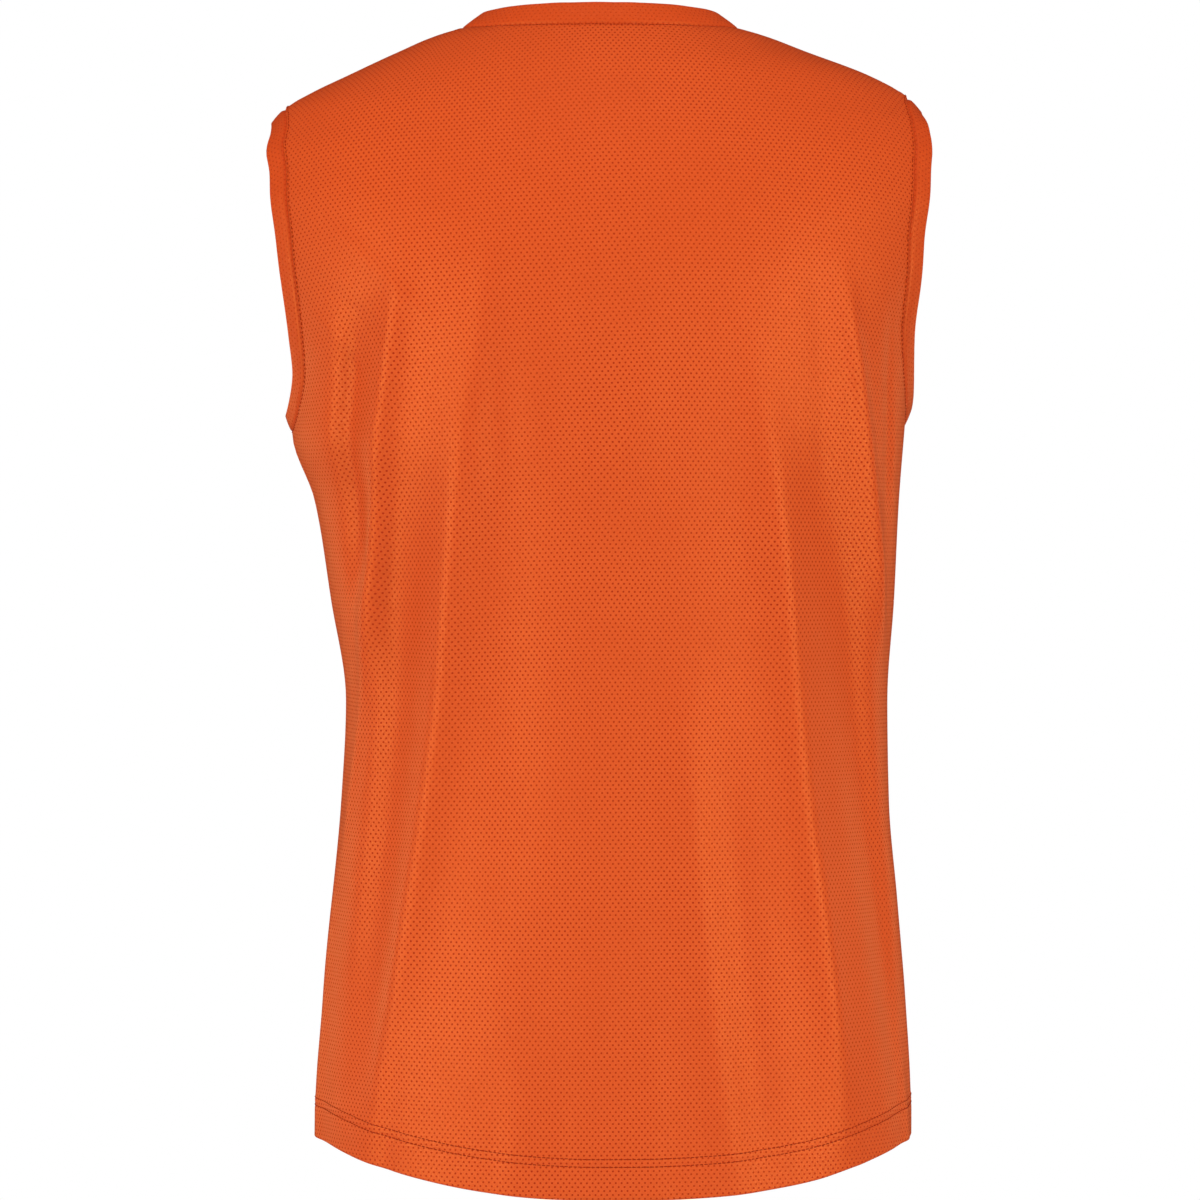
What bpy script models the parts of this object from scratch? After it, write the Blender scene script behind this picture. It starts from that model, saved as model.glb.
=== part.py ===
"""A sleeveless sports top, filled out as if worn, with nobody in it.

Metres, +Z up. The wearer faces -Y and the wearer's left is +X. The origin lies midway
between the two high points of the shoulders, where the garment hangs on its wearer.

The cloth follows a body form: horizontal sections, each made of four quarter
superellipses, blended smoothly from one height to the next. Back and front are open
surfaces laid on that form, with folds that lift or sink them, and Solidify gives them
the thickness of the cloth. A bearing on the form is 0 at the centre back, 90 degrees at
the wearer's left side and 180 degrees at the centre front.
"""

from collections import namedtuple

import bpy
import numpy as np

# Cloth and seams
CLOTH = 0.0012
DOUBLED_CLOTH = 0.0020
SEAM_GAP = 0.0003
NECK_BAND_WIDTH = 0.0158
ARMHOLE_BAND_WIDTH = 0.012
BAND_CURL = 0.0008
HEM_TURN = 0.024
HEM_FADE = 0.008

# Hem: the height of its corners, how far the edge drops between them, and how flat its
# curve is (2 is a parabola). The back has a small step near its right end
HEM_SIDE = -0.662
HEM_DROP_BACK = 0.0265
HEM_DROP_FRONT = 0.018
HEM_FLATNESS = {"left": 2.0, "right": 2.7}
HEM_STEP = 0.0022
HEM_STEP_AT = -0.135
HEM_STEP_WIDTH = 0.004

# Armhole seam, an ellipse seen from the side whose foot swings to the side seam. Its
# band leans away from the cloth's own direction: over the shoulder it droops, and within
# the given height below the armhole's top that gives way to an outward flare
ARMHOLE_TOP = {"left": -0.0494, "right": -0.0430}
ARMHOLE_FOOT = {"left": -0.2440, "right": -0.2415}
ARMHOLE_BACK = 0.057
ARMHOLE_FRONT = 0.066
FOOT_SWING_POWER = 4
ARMHOLE_FLARE = 0.5
SHOULDER_DROOP = 0.06
DROOP_HEIGHT = 0.022

# The shoulder seam runs this far forward of the shoulder's ridge
SHOULDER_FORWARD = 0.012
SHOULDER_NECK_BEARING = 98.0

# Grid of the panels: columns across, rows below and above the armpit, and a narrow
# margin along the seams. The columns are spread evenly at the waist, and a side edge
# pulls on the rows over this share of their length
BACK_COLUMNS = {"shoulder": 11, "neck": 26}
FRONT_COLUMNS = {"shoulder": 11, "neck": 24}
ROWS_BELOW = 17
ROWS_ABOVE = 17
SEAM_MARGIN = 0.004
SPREAD_AT = -0.40
SIDE_PULL = 0.42
BAND_ROWS = 3
FINE_COUNT = 240
HEM_ROUNDS = 4

# Each section's half widths to the wearer's left and right, the depths of the centre
# back and centre front, the depth at which the section is widest, and how square it is
# (2 is an ellipse)
Section = namedtuple("Section", "height left right back front middle square")
SECTIONS = (
    Section(-0.002, 0.083, 0.083, 0.052, 0.030, 0.000, 2.00),
    Section(-0.006, 0.098, 0.098, 0.056, 0.036, 0.000, 1.95),
    Section(-0.016, 0.122, 0.125, 0.065, 0.047, 0.000, 1.85),
    Section(-0.030, 0.152, 0.162, 0.075, 0.060, 0.000, 1.80),
    Section(-0.040, 0.173, 0.181, 0.081, 0.068, 0.000, 1.76),
    Section(-0.050, 0.190, 0.193, 0.087, 0.075, 0.000, 1.75),
    Section(-0.062, 0.201, 0.206, 0.0932, 0.082, 0.000, 1.76),
    Section(-0.080, 0.212, 0.215, 0.1010, 0.092, 0.000, 1.82),
    Section(-0.100, 0.212, 0.214, 0.1074, 0.101, 0.000, 1.94),
    Section(-0.125, 0.206, 0.206, 0.1133, 0.110, 0.000, 2.12),
    Section(-0.155, 0.198, 0.198, 0.1174, 0.117, 0.000, 2.29),
    Section(-0.190, 0.189, 0.188, 0.1196, 0.122, 0.000, 2.38),
    Section(-0.218, 0.184, 0.184, 0.1200, 0.125, 0.000, 2.40),
    Section(-0.244, 0.184, 0.182, 0.1198, 0.126, 0.000, 2.40),
    Section(-0.284, 0.171, 0.179, 0.1185, 0.125, 0.000, 2.40),
    Section(-0.344, 0.161, 0.176, 0.1158, 0.121, 0.000, 2.40),
    Section(-0.404, 0.152, 0.172, 0.1135, 0.118, 0.000, 2.40),
    Section(-0.464, 0.155, 0.173, 0.1130, 0.117, 0.000, 2.40),
    Section(-0.524, 0.160, 0.178, 0.114, 0.119, 0.000, 2.40),
    Section(-0.584, 0.164, 0.183, 0.116, 0.121, 0.000, 2.35),
    Section(-0.644, 0.168, 0.186, 0.118, 0.123, 0.000, 2.30),
    Section(-0.700, 0.168, 0.186, 0.119, 0.124, 0.000, 2.30),
)

# The depth at which each side seam runs down
SideSeam = namedtuple("SideSeam", "height left right")
SIDE_SEAMS = (
    SideSeam(-0.244, 0.014, -0.010),
    SideSeam(-0.262, 0.020, -0.010),
    SideSeam(-0.290, 0.016, -0.010),
    SideSeam(-0.340, 0.002, -0.010),
    SideSeam(-0.420, -0.006, -0.008),
    SideSeam(-0.690, -0.006, -0.006),
)

# The neck seam from centre back to centre front, the same on both sides. The band
# stands up from the cloth by the given rise for each metre of its width
NeckPoint = namedtuple("NeckPoint", "bearing height stand")
NECK_SEAM = (
    NeckPoint(0.0, -0.0041, 0.74),
    NeckPoint(45.0, -0.0038, 0.76),
    NeckPoint(75.0, -0.0029, 0.58),
    NeckPoint(90.0, -0.0021, 0.36),
    NeckPoint(100.0, -0.0043, 0.16),
    NeckPoint(112.0, -0.0150, 0.08),
    NeckPoint(125.0, -0.0310, 0.08),
    NeckPoint(140.0, -0.0530, 0.10),
    NeckPoint(155.0, -0.0760, 0.10),
    NeckPoint(168.0, -0.0890, 0.10),
    NeckPoint(180.0, -0.0928, 0.10),
)

# Folds run down the cloth from a head to a foot, both given by bearing and height. A
# bend over 1 keeps a fold upright at first, and under 1 slants it early. The width is
# from the crest to where the fold has nearly gone. Ridges are lifted by their depth and
# troughs sink by it. A foot below the hem lets the fold run out through it
Fold = namedtuple("Fold", "head_bearing head foot_bearing foot bend width depth")
FOLDS = (
    # Back, from its left side to its right
    Fold(57.0, -0.150, 64.5, -0.360, 1.00, 0.016, -0.0042),
    Fold(48.8, -0.120, 69.0, -0.420, 1.70, 0.014, 0.0036),
    Fold(37.0, -0.215, 61.5, -0.665, 0.40, 0.024, -0.0052),
    Fold(30.0, -0.120, 61.4, -0.710, 1.15, 0.024, 0.0058),
    Fold(26.0, -0.130, 25.0, -0.560, 1.00, 0.026, -0.0018),
    Fold(0.0, -0.260, 1.0, -0.745, 1.00, 0.034, 0.0012),
    Fold(-24.0, -0.360, -39.0, -0.745, 1.50, 0.020, 0.0026),
    Fold(-33.0, -0.400, -43.0, -0.720, 1.00, 0.022, -0.0024),
    Fold(-33.5, -0.150, -62.0, -0.745, 0.64, 0.024, 0.0058),
    Fold(-42.0, -0.200, -79.0, -0.700, 0.56, 0.026, -0.0052),
    Fold(-56.5, -0.130, -77.0, -0.400, 1.20, 0.013, 0.0034),
    Fold(-70.0, -0.150, -76.0, -0.330, 1.00, 0.012, -0.0024),
    # Front, from its left side to its right
    Fold(110.0, -0.280, 104.0, -0.745, 1.00, 0.022, -0.0036),
    Fold(126.0, -0.150, 112.0, -0.430, 1.20, 0.016, 0.0032),
    Fold(136.0, -0.260, 113.0, -0.745, 0.90, 0.024, -0.0050),
    Fold(146.0, -0.190, 125.0, -0.745, 0.90, 0.024, 0.0054),
    Fold(160.0, -0.300, 150.0, -0.745, 1.00, 0.026, 0.0034),
    Fold(168.0, -0.380, 163.0, -0.745, 1.00, 0.024, -0.0026),
    Fold(-168.0, -0.400, -161.0, -0.745, 1.00, 0.024, 0.0028),
    Fold(-151.0, -0.170, -131.0, -0.745, 0.80, 0.024, 0.0056),
    Fold(-140.0, -0.230, -118.0, -0.745, 0.80, 0.024, -0.0054),
    Fold(-124.0, -0.140, -109.0, -0.400, 1.10, 0.016, 0.0032),
    Fold(-108.0, -0.420, -104.0, -0.745, 1.00, 0.022, 0.0030),
)
FOLD_SWELL = 0.30
FOLD_FADE = 0.30
FOLD_SHARPNESS = 2.5

UPRIGHT = np.array([0.0, 0.0, 1.0])

Finish = namedtuple("Finish", "colour roughness metallic")
PANEL_FINISH = Finish((0.76, 0.098, 0.019, 1.0), 0.72, 0.0)
BAND_FINISH = Finish((0.72, 0.088, 0.017, 1.0), 0.75, 0.0)


def eased(knots, values, at):
    """Monotone cubic curve through the values at rising knots, held beyond the ends."""
    knots = np.asarray(knots, float)
    values = np.asarray(values, float)
    step = np.diff(knots)
    rise = np.diff(values) / step
    slope = np.zeros(len(knots))
    slope[0], slope[-1] = rise[0], rise[-1]
    onward = rise[:-1] * rise[1:] > 0
    before, after = rise[:-1][onward], rise[1:][onward]
    near = (2 * step[1:] + step[:-1])[onward]
    far = (step[1:] + 2 * step[:-1])[onward]
    slope[1:-1][onward] = (near + far) / (near / before + far / after)
    at = np.clip(at, knots[0], knots[-1])
    i = np.clip(np.searchsorted(knots, at) - 1, 0, len(step) - 1)
    t = (at - knots[i]) / step[i]
    start = values[i] * (1 + 2 * t) * (1 - t) ** 2 + slope[i] * step[i] * t * (1 - t) ** 2
    end = values[i + 1] * t * t * (3 - 2 * t) + slope[i + 1] * step[i] * t * t * (t - 1)
    return start + end


def column(table, name, at, key="height"):
    """The named column of a table, read smoothly at any place along its key column."""
    rows = sorted(table, key=lambda row: getattr(row, key))
    knots = [getattr(row, key) for row in rows]
    return eased(knots, [getattr(row, name) for row in rows], at)


def section_sizes(x, y, z):
    """Half width, half depth, middle and squareness of the section through each point."""
    middle, square = column(SECTIONS, "middle", z), column(SECTIONS, "square", z)
    wide = np.where(x > 0, column(SECTIONS, "left", z), column(SECTIONS, "right", z))
    back = column(SECTIONS, "back", z) - middle
    front = column(SECTIONS, "front", z) + middle
    return wide, np.where(y > middle, back, front), middle, square


def form_point(bearing, height):
    """Points of the body form at bearings in degrees and heights."""
    across, along = np.sin(np.radians(bearing)), np.cos(np.radians(bearing))
    middle = column(SECTIONS, "middle", height)
    wide, deep, middle, square = section_sizes(across, middle + along, height)
    reach = ((np.abs(across) / wide) ** square + (np.abs(along) / deep) ** square) ** (-1 / square)
    return np.stack([reach * across, middle + reach * along, height + 0 * reach], axis=-1)


def form_side(depth, height, side):
    """Points of the body form at depths and heights, on the left or right."""
    sign = 1.0 if side == "left" else -1.0
    wide, deep, middle, square = section_sizes(sign + 0 * depth, depth, height)
    share = 1 - np.minimum(np.abs(depth - middle) / deep, 1) ** square
    return np.stack([sign * wide * share ** (1 / square), depth, height], axis=-1)


def gauge(points):
    """1 on the body form, less inside it and more outside."""
    x, y, z = np.moveaxis(points, -1, 0)
    wide, deep, middle, square = section_sizes(x, y, z)
    powers = (np.abs(x) / wide) ** square + (np.abs(y - middle) / deep) ** square
    return powers ** (1 / square)


def unit(vectors):
    """Vectors of length 1."""
    return vectors / np.linalg.norm(vectors, axis=-1, keepdims=True)


def gauge_slope(points, step=0.0002):
    """Gradient of the gauge, by central differences."""
    moves = np.eye(3) * step
    return np.stack([gauge(points + m) - gauge(points - m) for m in moves], axis=-1) / (2 * step)


def settle(points, rounds=30, longest=0.004):
    """Moves points to the nearest place on the body form, by Newton's method."""
    for _ in range(rounds):
        slope = gauge_slope(points)
        steep = np.linalg.norm(slope, axis=-1)
        move = np.clip((gauge(points) - 1) / steep, -longest, longest)
        points = points - (move / steep)[..., None] * slope
    return points


def walk(points):
    """Distance walked to each point of a path."""
    return np.concatenate([[0], np.cumsum(np.linalg.norm(np.diff(points, axis=0), axis=1))])


def shares_walked(points):
    """Share of a path walked to each of its points."""
    walked = walk(points)
    return walked / walked[-1]


def evenly(points, segments, start_margin=0.0, end_margin=0.0):
    """Points at equal distances along a closely given path, and at any margin asked for."""
    walked = walk(points)
    wanted = np.linspace(0, walked[-1], segments + 1)
    if start_margin:
        wanted = np.insert(wanted, 1, start_margin)
    if end_margin:
        wanted = np.insert(wanted, -1, walked[-1] - end_margin)
    return np.stack([np.interp(wanted, walked, points[:, k]) for k in range(3)], axis=-1)


def ramp(share):
    """0 below 0 and 1 above 1, with a smooth climb between them."""
    share = np.clip(share, 0, 1)
    return share * share * (3 - 2 * share)


def fold_lift(points):
    """How far the folds lift the cloth off the body form at each point."""
    x, y, z = np.moveaxis(points, -1, 0)
    y = y - column(SECTIONS, "middle", z)
    bearing = np.degrees(np.arctan2(x, y))
    reach = np.hypot(x, y)
    lift = np.zeros_like(z)
    for fold in FOLDS:
        share = np.clip((fold.head - z) / (fold.head - fold.foot), 0, 1)
        swing = share**fold.bend * (fold.foot_bearing - fold.head_bearing)
        apart = (bearing - fold.head_bearing - swing + 180) % 360 - 180
        across = np.radians(apart) * reach / fold.width
        strength = ramp(share / FOLD_SWELL) * ramp((1 - share) / FOLD_FADE)
        lift += fold.depth * strength * np.exp(-FOLD_SHARPNESS * across**2)
    return lift


def with_folds(points):
    """Cloth points, lifted off the form along its own normals."""
    return points + fold_lift(points)[..., None] * unit(gauge_slope(points))


def hem_height(bearing):
    """Height of the hem's edge, lowest at the centre back and front."""
    x = form_point(bearing, HEM_SIDE + 0 * bearing)[..., 0]
    wide = np.where(x > 0, column(SECTIONS, "left", HEM_SIDE), column(SECTIONS, "right", HEM_SIDE))
    flatness = np.where(x > 0, HEM_FLATNESS["left"], HEM_FLATNESS["right"])
    dropped = 1 - np.clip(np.abs(x) / wide, 0, 1) ** flatness
    at_back = np.cos(np.radians(bearing)) > 0
    step = HEM_STEP / (1 + np.exp((x - HEM_STEP_AT) / HEM_STEP_WIDTH)) * dropped
    drop = np.where(at_back, HEM_DROP_BACK * dropped - step, HEM_DROP_FRONT * dropped)
    return HEM_SIDE - drop


def armhole_arc(side, start, end):
    """Armhole seam between two turns: 0 is its top, 90 degrees its back, 180 its foot."""
    turn = np.radians(np.linspace(start, end, FINE_COUNT))
    top, foot = ARMHOLE_TOP[side], ARMHOLE_FOOT[side]
    height = (top + foot) / 2 + (top - foot) / 2 * np.cos(turn)
    depth = np.where(np.sin(turn) > 0, ARMHOLE_BACK, ARMHOLE_FRONT) * np.sin(turn)
    swing = getattr(SIDE_SEAMS[0], side) * ((1 - np.cos(turn)) / 2) ** FOOT_SWING_POWER
    return form_side(depth + swing, height, side)


def neck_seam(start, end):
    """Neck seam between two bearings, the short way through the centre back or front."""
    bearing = np.linspace(start, end, FINE_COUNT)
    around = np.abs((bearing + 180) % 360 - 180)
    return form_point(bearing, column(NECK_SEAM, "height", around, key="bearing"))


def armhole_edge(side, facing):
    """A panel's own stretch of the armhole seam, from its foot to the shoulder seam."""
    sign = 1 if facing == "back" else -1
    reach = ARMHOLE_BACK if facing == "back" else ARMHOLE_FRONT
    foot = 180 - sign * np.degrees(SEAM_GAP / 2 / reach)
    head = np.degrees(np.arcsin((sign * SEAM_GAP / 2 - SHOULDER_FORWARD) / ARMHOLE_FRONT))
    arc = armhole_arc(side, foot, head if facing == "back" else head + 360)
    return evenly(arc, ROWS_ABOVE, end_margin=SEAM_MARGIN)


def side_seam(side, heights, shift):
    """Side seam at the given heights, moved towards the back by the shift."""
    return form_side(column(SIDE_SEAMS, side, heights) + shift, heights, side)


def bearing_of(points):
    """Bearings of points round the body form, in degrees."""
    x, y, z = np.moveaxis(points, -1, 0)
    return np.degrees(np.arctan2(x, y - column(SECTIONS, "middle", z)))


def seam_bearing(side, heights, facing):
    """Bearings of a panel's side edge, in turn order from the panel's own centre."""
    shift = SEAM_GAP / 2 * (1 if facing == "back" else -1)
    bearing = bearing_of(side_seam(side, heights, shift))
    return bearing if facing == "back" else bearing % 360


def even_shares(facing, columns):
    """Shares of the way from edge to edge that part a middle section into even lengths."""
    ends = (-90.0, 90.0) if facing == "back" else (270.0, 90.0)
    bearing = np.linspace(*ends, FINE_COUNT)
    path = form_point(bearing, np.full(FINE_COUNT, SPREAD_AT))
    laid = evenly(path, columns, SEAM_MARGIN, SEAM_MARGIN)
    laid_bearing = bearing_of(laid) if facing == "back" else bearing_of(laid) % 360
    return (laid_bearing - ends[0]) / (ends[1] - ends[0])


def lower_rows(facing, columns, armpits):
    """Rows from the hem up to the armpits, laid round the form between the side seams."""
    share = even_shares(facing, columns)
    rows = []
    for climb in np.linspace(0, 1, ROWS_BELOW + 1):
        bearing = np.full(len(share), 0.0 if facing == "back" else 180.0)
        for _ in range(HEM_ROUNDS):
            hem = hem_height(bearing)
            top = armpits["right"] + share * (armpits["left"] - armpits["right"])
            height = hem + climb * (top - hem)
            right = seam_bearing("right", height[:1], facing)
            left = seam_bearing("left", height[-1:], facing)
            bearing = right + share * (left - right)
        rows.append(form_point(bearing, height))
    return np.array(rows)


def shoulder_and_neck(facing, columns, tips):
    """Top edge of a panel: right shoulder, neck and left shoulder."""
    shift = SEAM_GAP / 2 * (1 if facing == "back" else -1)
    turn = SHOULDER_NECK_BEARING
    if facing == "back":
        neck = evenly(neck_seam(-turn, turn), columns["neck"])
    else:
        neck = evenly(neck_seam(360 - turn, turn), columns["neck"])
    neck[[0, -1], 1] += shift
    neck[[0, -1]] = settle(neck[[0, -1]])
    across = np.linspace(0, 1, FINE_COUNT)[:, None]
    right = settle(tips["right"] * (1 - across) + neck[0] * across)
    left = settle(neck[-1] * (1 - across) + tips["left"] * across)
    right = evenly(right, columns["shoulder"], start_margin=SEAM_MARGIN)
    left = evenly(left, columns["shoulder"], end_margin=SEAM_MARGIN)
    return np.concatenate([right[:-1], neck, left[1:]])


def upper_rows(bottom, top, right, left):
    """Rows between four edges, laid on the form. Each row is a blend of the bottom and
    top edges, drawn out at its ends to the side edges by a pull that dies away inwards."""
    v = shares_walked(left)[:, None, None]
    u = shares_walked(bottom)[None, :, None]
    level = (1 - v) * bottom[None] + v * top[None]
    to_right = right[:, None] - level[:, :1]
    to_left = left[:, None] - level[:, -1:]
    near_right, near_left = 1 - ramp(u / SIDE_PULL), 1 - ramp((1 - u) / SIDE_PULL)
    rows = settle(level + near_right * to_right + near_left * to_left)
    rows[:, 1] = settle(right + SEAM_MARGIN * unit(rows[:, 2] - right))
    rows[:, -2] = settle(left + SEAM_MARGIN * unit(rows[:, -3] - left))
    rows[0], rows[-1], rows[:, 0], rows[:, -1] = bottom, top, right, left
    return rows


def panel_points(facing, columns):
    """All rows of the back or the front, from the hem to the shoulders and neck."""
    count = 2 * columns["shoulder"] + columns["neck"]
    edges = {side: armhole_edge(side, facing) for side in ("right", "left")}
    armpits = {side: edge[0][2] for side, edge in edges.items()}
    tips = {side: edge[-1] for side, edge in edges.items()}
    lower = lower_rows(facing, count, armpits)
    lower[-1, 0], lower[-1, -1] = edges["right"][0], edges["left"][0]
    top = shoulder_and_neck(facing, columns, tips)
    upper = upper_rows(lower[-1], top, edges["right"], edges["left"])
    return with_folds(np.concatenate([lower, upper[1:]]))


def band_points(seam, width, lean, towards):
    """Rows of a band that carries the cloth on past a closed seam into the opening, and
    leans away from the cloth's own direction."""
    along = unit(np.roll(seam, -1, axis=0) - np.roll(seam, 1, axis=0))
    normal = unit(gauge_slope(seam))
    inward = unit(np.cross(along, normal))
    if np.sum(inward * (towards - seam)) < 0:
        inward = -inward
    leaning = inward + lean
    leaning = unit(leaning - np.sum(leaning * along, axis=-1, keepdims=True) * along)
    rows = []
    for share in np.linspace(0, 1, BAND_ROWS + 1):
        reach = SEAM_GAP * inward + share * width * leaning - share**2 * BAND_CURL * normal
        rows.append(seam + reach)
    return np.array(rows)


def joined(first, second):
    """A closed seam from two panels' edges that meet, less a gap, at both ends."""
    start = (first[0] + second[-1]) / 2
    middle = (first[-1] + second[0]) / 2
    return np.concatenate([[start], first[1:-1], [middle], second[1:-1]])


def armhole_band_points(side, back, front):
    """Armhole band, standing out from the panels' armhole edges."""
    edge = 0 if side == "right" else -1
    seam = joined(back[ROWS_BELOW:, edge], front[ROWS_BELOW:, edge][::-1])
    sideways = np.array([-1.0 if side == "right" else 1.0, 0.0, 0.0])
    flared = ramp((ARMHOLE_TOP[side] - seam[:, 2:]) / DROOP_HEIGHT)
    lean = ARMHOLE_FLARE * flared * sideways - SHOULDER_DROOP * (1 - flared) * UPRIGHT
    return band_points(seam, ARMHOLE_BAND_WIDTH, lean, seam.mean(axis=0) + sideways)


def neck_band_points(back, front):
    """Neck band, standing up round the neck."""
    back_edge = back[-1, BACK_COLUMNS["shoulder"] + 1 : -BACK_COLUMNS["shoulder"] - 1]
    front_edge = front[-1, FRONT_COLUMNS["shoulder"] + 1 : -FRONT_COLUMNS["shoulder"] - 1]
    seam = joined(back_edge, front_edge[::-1])
    stand = column(NECK_SEAM, "stand", np.abs(bearing_of(seam)), key="bearing")
    lean = stand[:, None] * UPRIGHT
    return band_points(seam, NECK_BAND_WIDTH, lean, seam.mean(axis=0) + UPRIGHT)


def surface(name, rows, closed, collection):
    """An object with a mesh of quads through rows of points, its ends joined if closed."""
    count, length = rows.shape[:2]
    index = np.arange(count * length).reshape(count, length)
    if closed:
        index = np.concatenate([index, index[:, :1]], axis=1)
    quads = np.stack([index[:-1, :-1], index[:-1, 1:], index[1:, 1:], index[1:, :-1]], axis=-1)
    mesh = bpy.data.meshes.new(name)
    mesh.from_pydata(rows.reshape(-1, 3).tolist(), [], quads.reshape(-1, 4).tolist())
    mesh.shade_smooth()
    part = bpy.data.objects.new(name, mesh)
    collection.objects.link(part)
    return part


def face_outwards(part):
    """Turns the faces so that they look away from the body form."""
    mesh = part.data
    centres = np.array([face.center for face in mesh.polygons])
    normals = np.array([face.normal for face in mesh.polygons])
    if np.sum(normals * gauge_slope(centres)) < 0:
        mesh.flip_normals()


def thicken(part, thickness, thinner=None):
    """Gives the surface its wall, inwards. A vertex group may thin it to a share."""
    wall = part.modifiers.new("Cloth", "SOLIDIFY")
    wall.thickness = thickness
    wall.offset = -1.0
    wall.use_even_offset = True
    if thinner is not None:
        wall.vertex_group = thinner
        wall.thickness_vertex_group = CLOTH / DOUBLED_CLOTH


def hem_group(part, rows):
    """A vertex group that is full on the turned-up hem and empty above it."""
    group = part.vertex_groups.new(name="Hem")
    above = rows[..., 2] - rows[:1, :, 2]
    weights = np.clip((HEM_TURN + HEM_FADE - above) / HEM_FADE, 0, 1).reshape(-1)
    for vertex, weight in enumerate(weights.tolist()):
        if weight > 0:
            group.add([vertex], weight, "REPLACE")
    return group.name


def paint(part, finish):
    """Gives a part its own material."""
    material = bpy.data.materials.new(part.name)
    material.use_nodes = True
    shader = material.node_tree.nodes["Principled BSDF"]
    shader.inputs["Base Color"].default_value = finish.colour
    shader.inputs["Roughness"].default_value = finish.roughness
    shader.inputs["Metallic"].default_value = finish.metallic
    part.data.materials.append(material)


def make_panel(name, rows, collection):
    """The back or the front, with its hem doubled."""
    part = surface(name, rows, False, collection)
    face_outwards(part)
    thicken(part, DOUBLED_CLOTH, hem_group(part, rows))
    paint(part, PANEL_FINISH)


def make_band(name, rows, collection):
    """A doubled strip round an opening."""
    part = surface(name, rows, True, collection)
    face_outwards(part)
    thicken(part, DOUBLED_CLOTH)
    paint(part, BAND_FINISH)


def clear_scene():
    """Removes every object that is already there."""
    for old in list(bpy.data.objects):
        bpy.data.objects.remove(old, do_unlink=True)


def main():
    """Builds the five pieces of the garment."""
    clear_scene()
    garment = bpy.data.collections.new("tank_top")
    bpy.context.scene.collection.children.link(garment)
    back = panel_points("back", BACK_COLUMNS)
    front = panel_points("front", FRONT_COLUMNS)
    make_panel("back_panel", back, garment)
    make_panel("front_panel", front, garment)
    make_band("neck_band", neck_band_points(back, front), garment)
    for side in ("left", "right"):
        make_band(f"armhole_band_{side}", armhole_band_points(side, back, front), garment)


main()
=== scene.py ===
"""Looks of a sleeveless sports top in orange eyelet mesh, filled out with nobody in it.

Metres, +Z up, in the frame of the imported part. The wearer would face -Y, and the
wearer's left is +X. The cloth is worked out afresh from the same body form, seams and
folds as the solids, on a finer grid, and each piece replaces its own solid. A bearing on
the form is 0 at the centre back, 90 degrees at the wearer's left side and 180 degrees at
the centre front.
"""

import logging
from dataclasses import dataclass
from enum import Enum
from itertools import pairwise
from typing import NamedTuple

import bpy
import numpy as np
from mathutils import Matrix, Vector
from numpy.typing import NDArray


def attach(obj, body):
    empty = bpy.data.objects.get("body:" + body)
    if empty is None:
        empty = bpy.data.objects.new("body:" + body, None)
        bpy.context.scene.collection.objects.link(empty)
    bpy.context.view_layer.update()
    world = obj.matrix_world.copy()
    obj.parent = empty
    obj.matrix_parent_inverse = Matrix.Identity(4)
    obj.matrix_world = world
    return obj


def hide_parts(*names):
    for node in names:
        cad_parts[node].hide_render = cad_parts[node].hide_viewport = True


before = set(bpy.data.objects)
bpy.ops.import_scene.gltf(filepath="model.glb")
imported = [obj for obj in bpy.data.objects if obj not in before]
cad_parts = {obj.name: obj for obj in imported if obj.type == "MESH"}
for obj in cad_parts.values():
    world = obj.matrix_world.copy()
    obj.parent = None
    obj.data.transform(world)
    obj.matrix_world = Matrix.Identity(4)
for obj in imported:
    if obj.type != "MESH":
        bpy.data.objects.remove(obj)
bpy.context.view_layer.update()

LOG = logging.getLogger("top")

Array = NDArray[np.float64]
Line = tuple[Array, Array]  # Points, and the directions out of the cloth at them
Colour = tuple[float, float, float, float]
UPRIGHT = np.array([0.0, 0.0, 1.0])


class Side(Enum):
    """A side of the wearer."""

    LEFT = "left"
    RIGHT = "right"

    @property
    def sign(self) -> float:
        """1 on the wearer's left, where X is positive, and -1 on the right."""
        return 1.0 if self is Side.LEFT else -1.0

    @property
    def sideways(self) -> Array:
        """The direction straight out of the wearer's side."""
        return np.array([self.sign, 0.0, 0.0])


class Facing(Enum):
    """Which half of the garment a panel is."""

    BACK = "back"
    FRONT = "front"

    def in_turn(self, bearing: Array | float) -> Array | float:
        """The bearings of a panel without a jump, so through 0 or through 180 degrees."""
        return bearing if self is Facing.BACK else bearing % 360


class Section(NamedTuple):
    """A level section of the body form.

    It has half widths to the left and right, the depths of its centre back and centre
    front, and a squareness (2 is an ellipse). It is widest at no depth.
    """

    height: float
    left: float
    right: float
    back: float
    front: float
    square: float


class SideSeam(NamedTuple):
    """The depth at which each side seam runs, at a height."""

    height: float
    left: float
    right: float


class NeckPoint(NamedTuple):
    """A point of the neck seam, and how steeply the band stands up from the cloth."""

    bearing: float
    height: float
    stand: float


class Fold(NamedTuple):
    """A soft fold that runs from a head to a foot, each given by bearing and height.

    A bend over 1 keeps it upright at first, and under 1 slants it early. The width is
    from the crest to where it has nearly gone. A ridge has a positive depth and a
    trough a negative one. A foot below the hem lets the fold run out through it.
    """

    head_bearing: float
    head: float
    foot_bearing: float
    foot: float
    bend: float
    width: float
    depth: float


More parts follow.
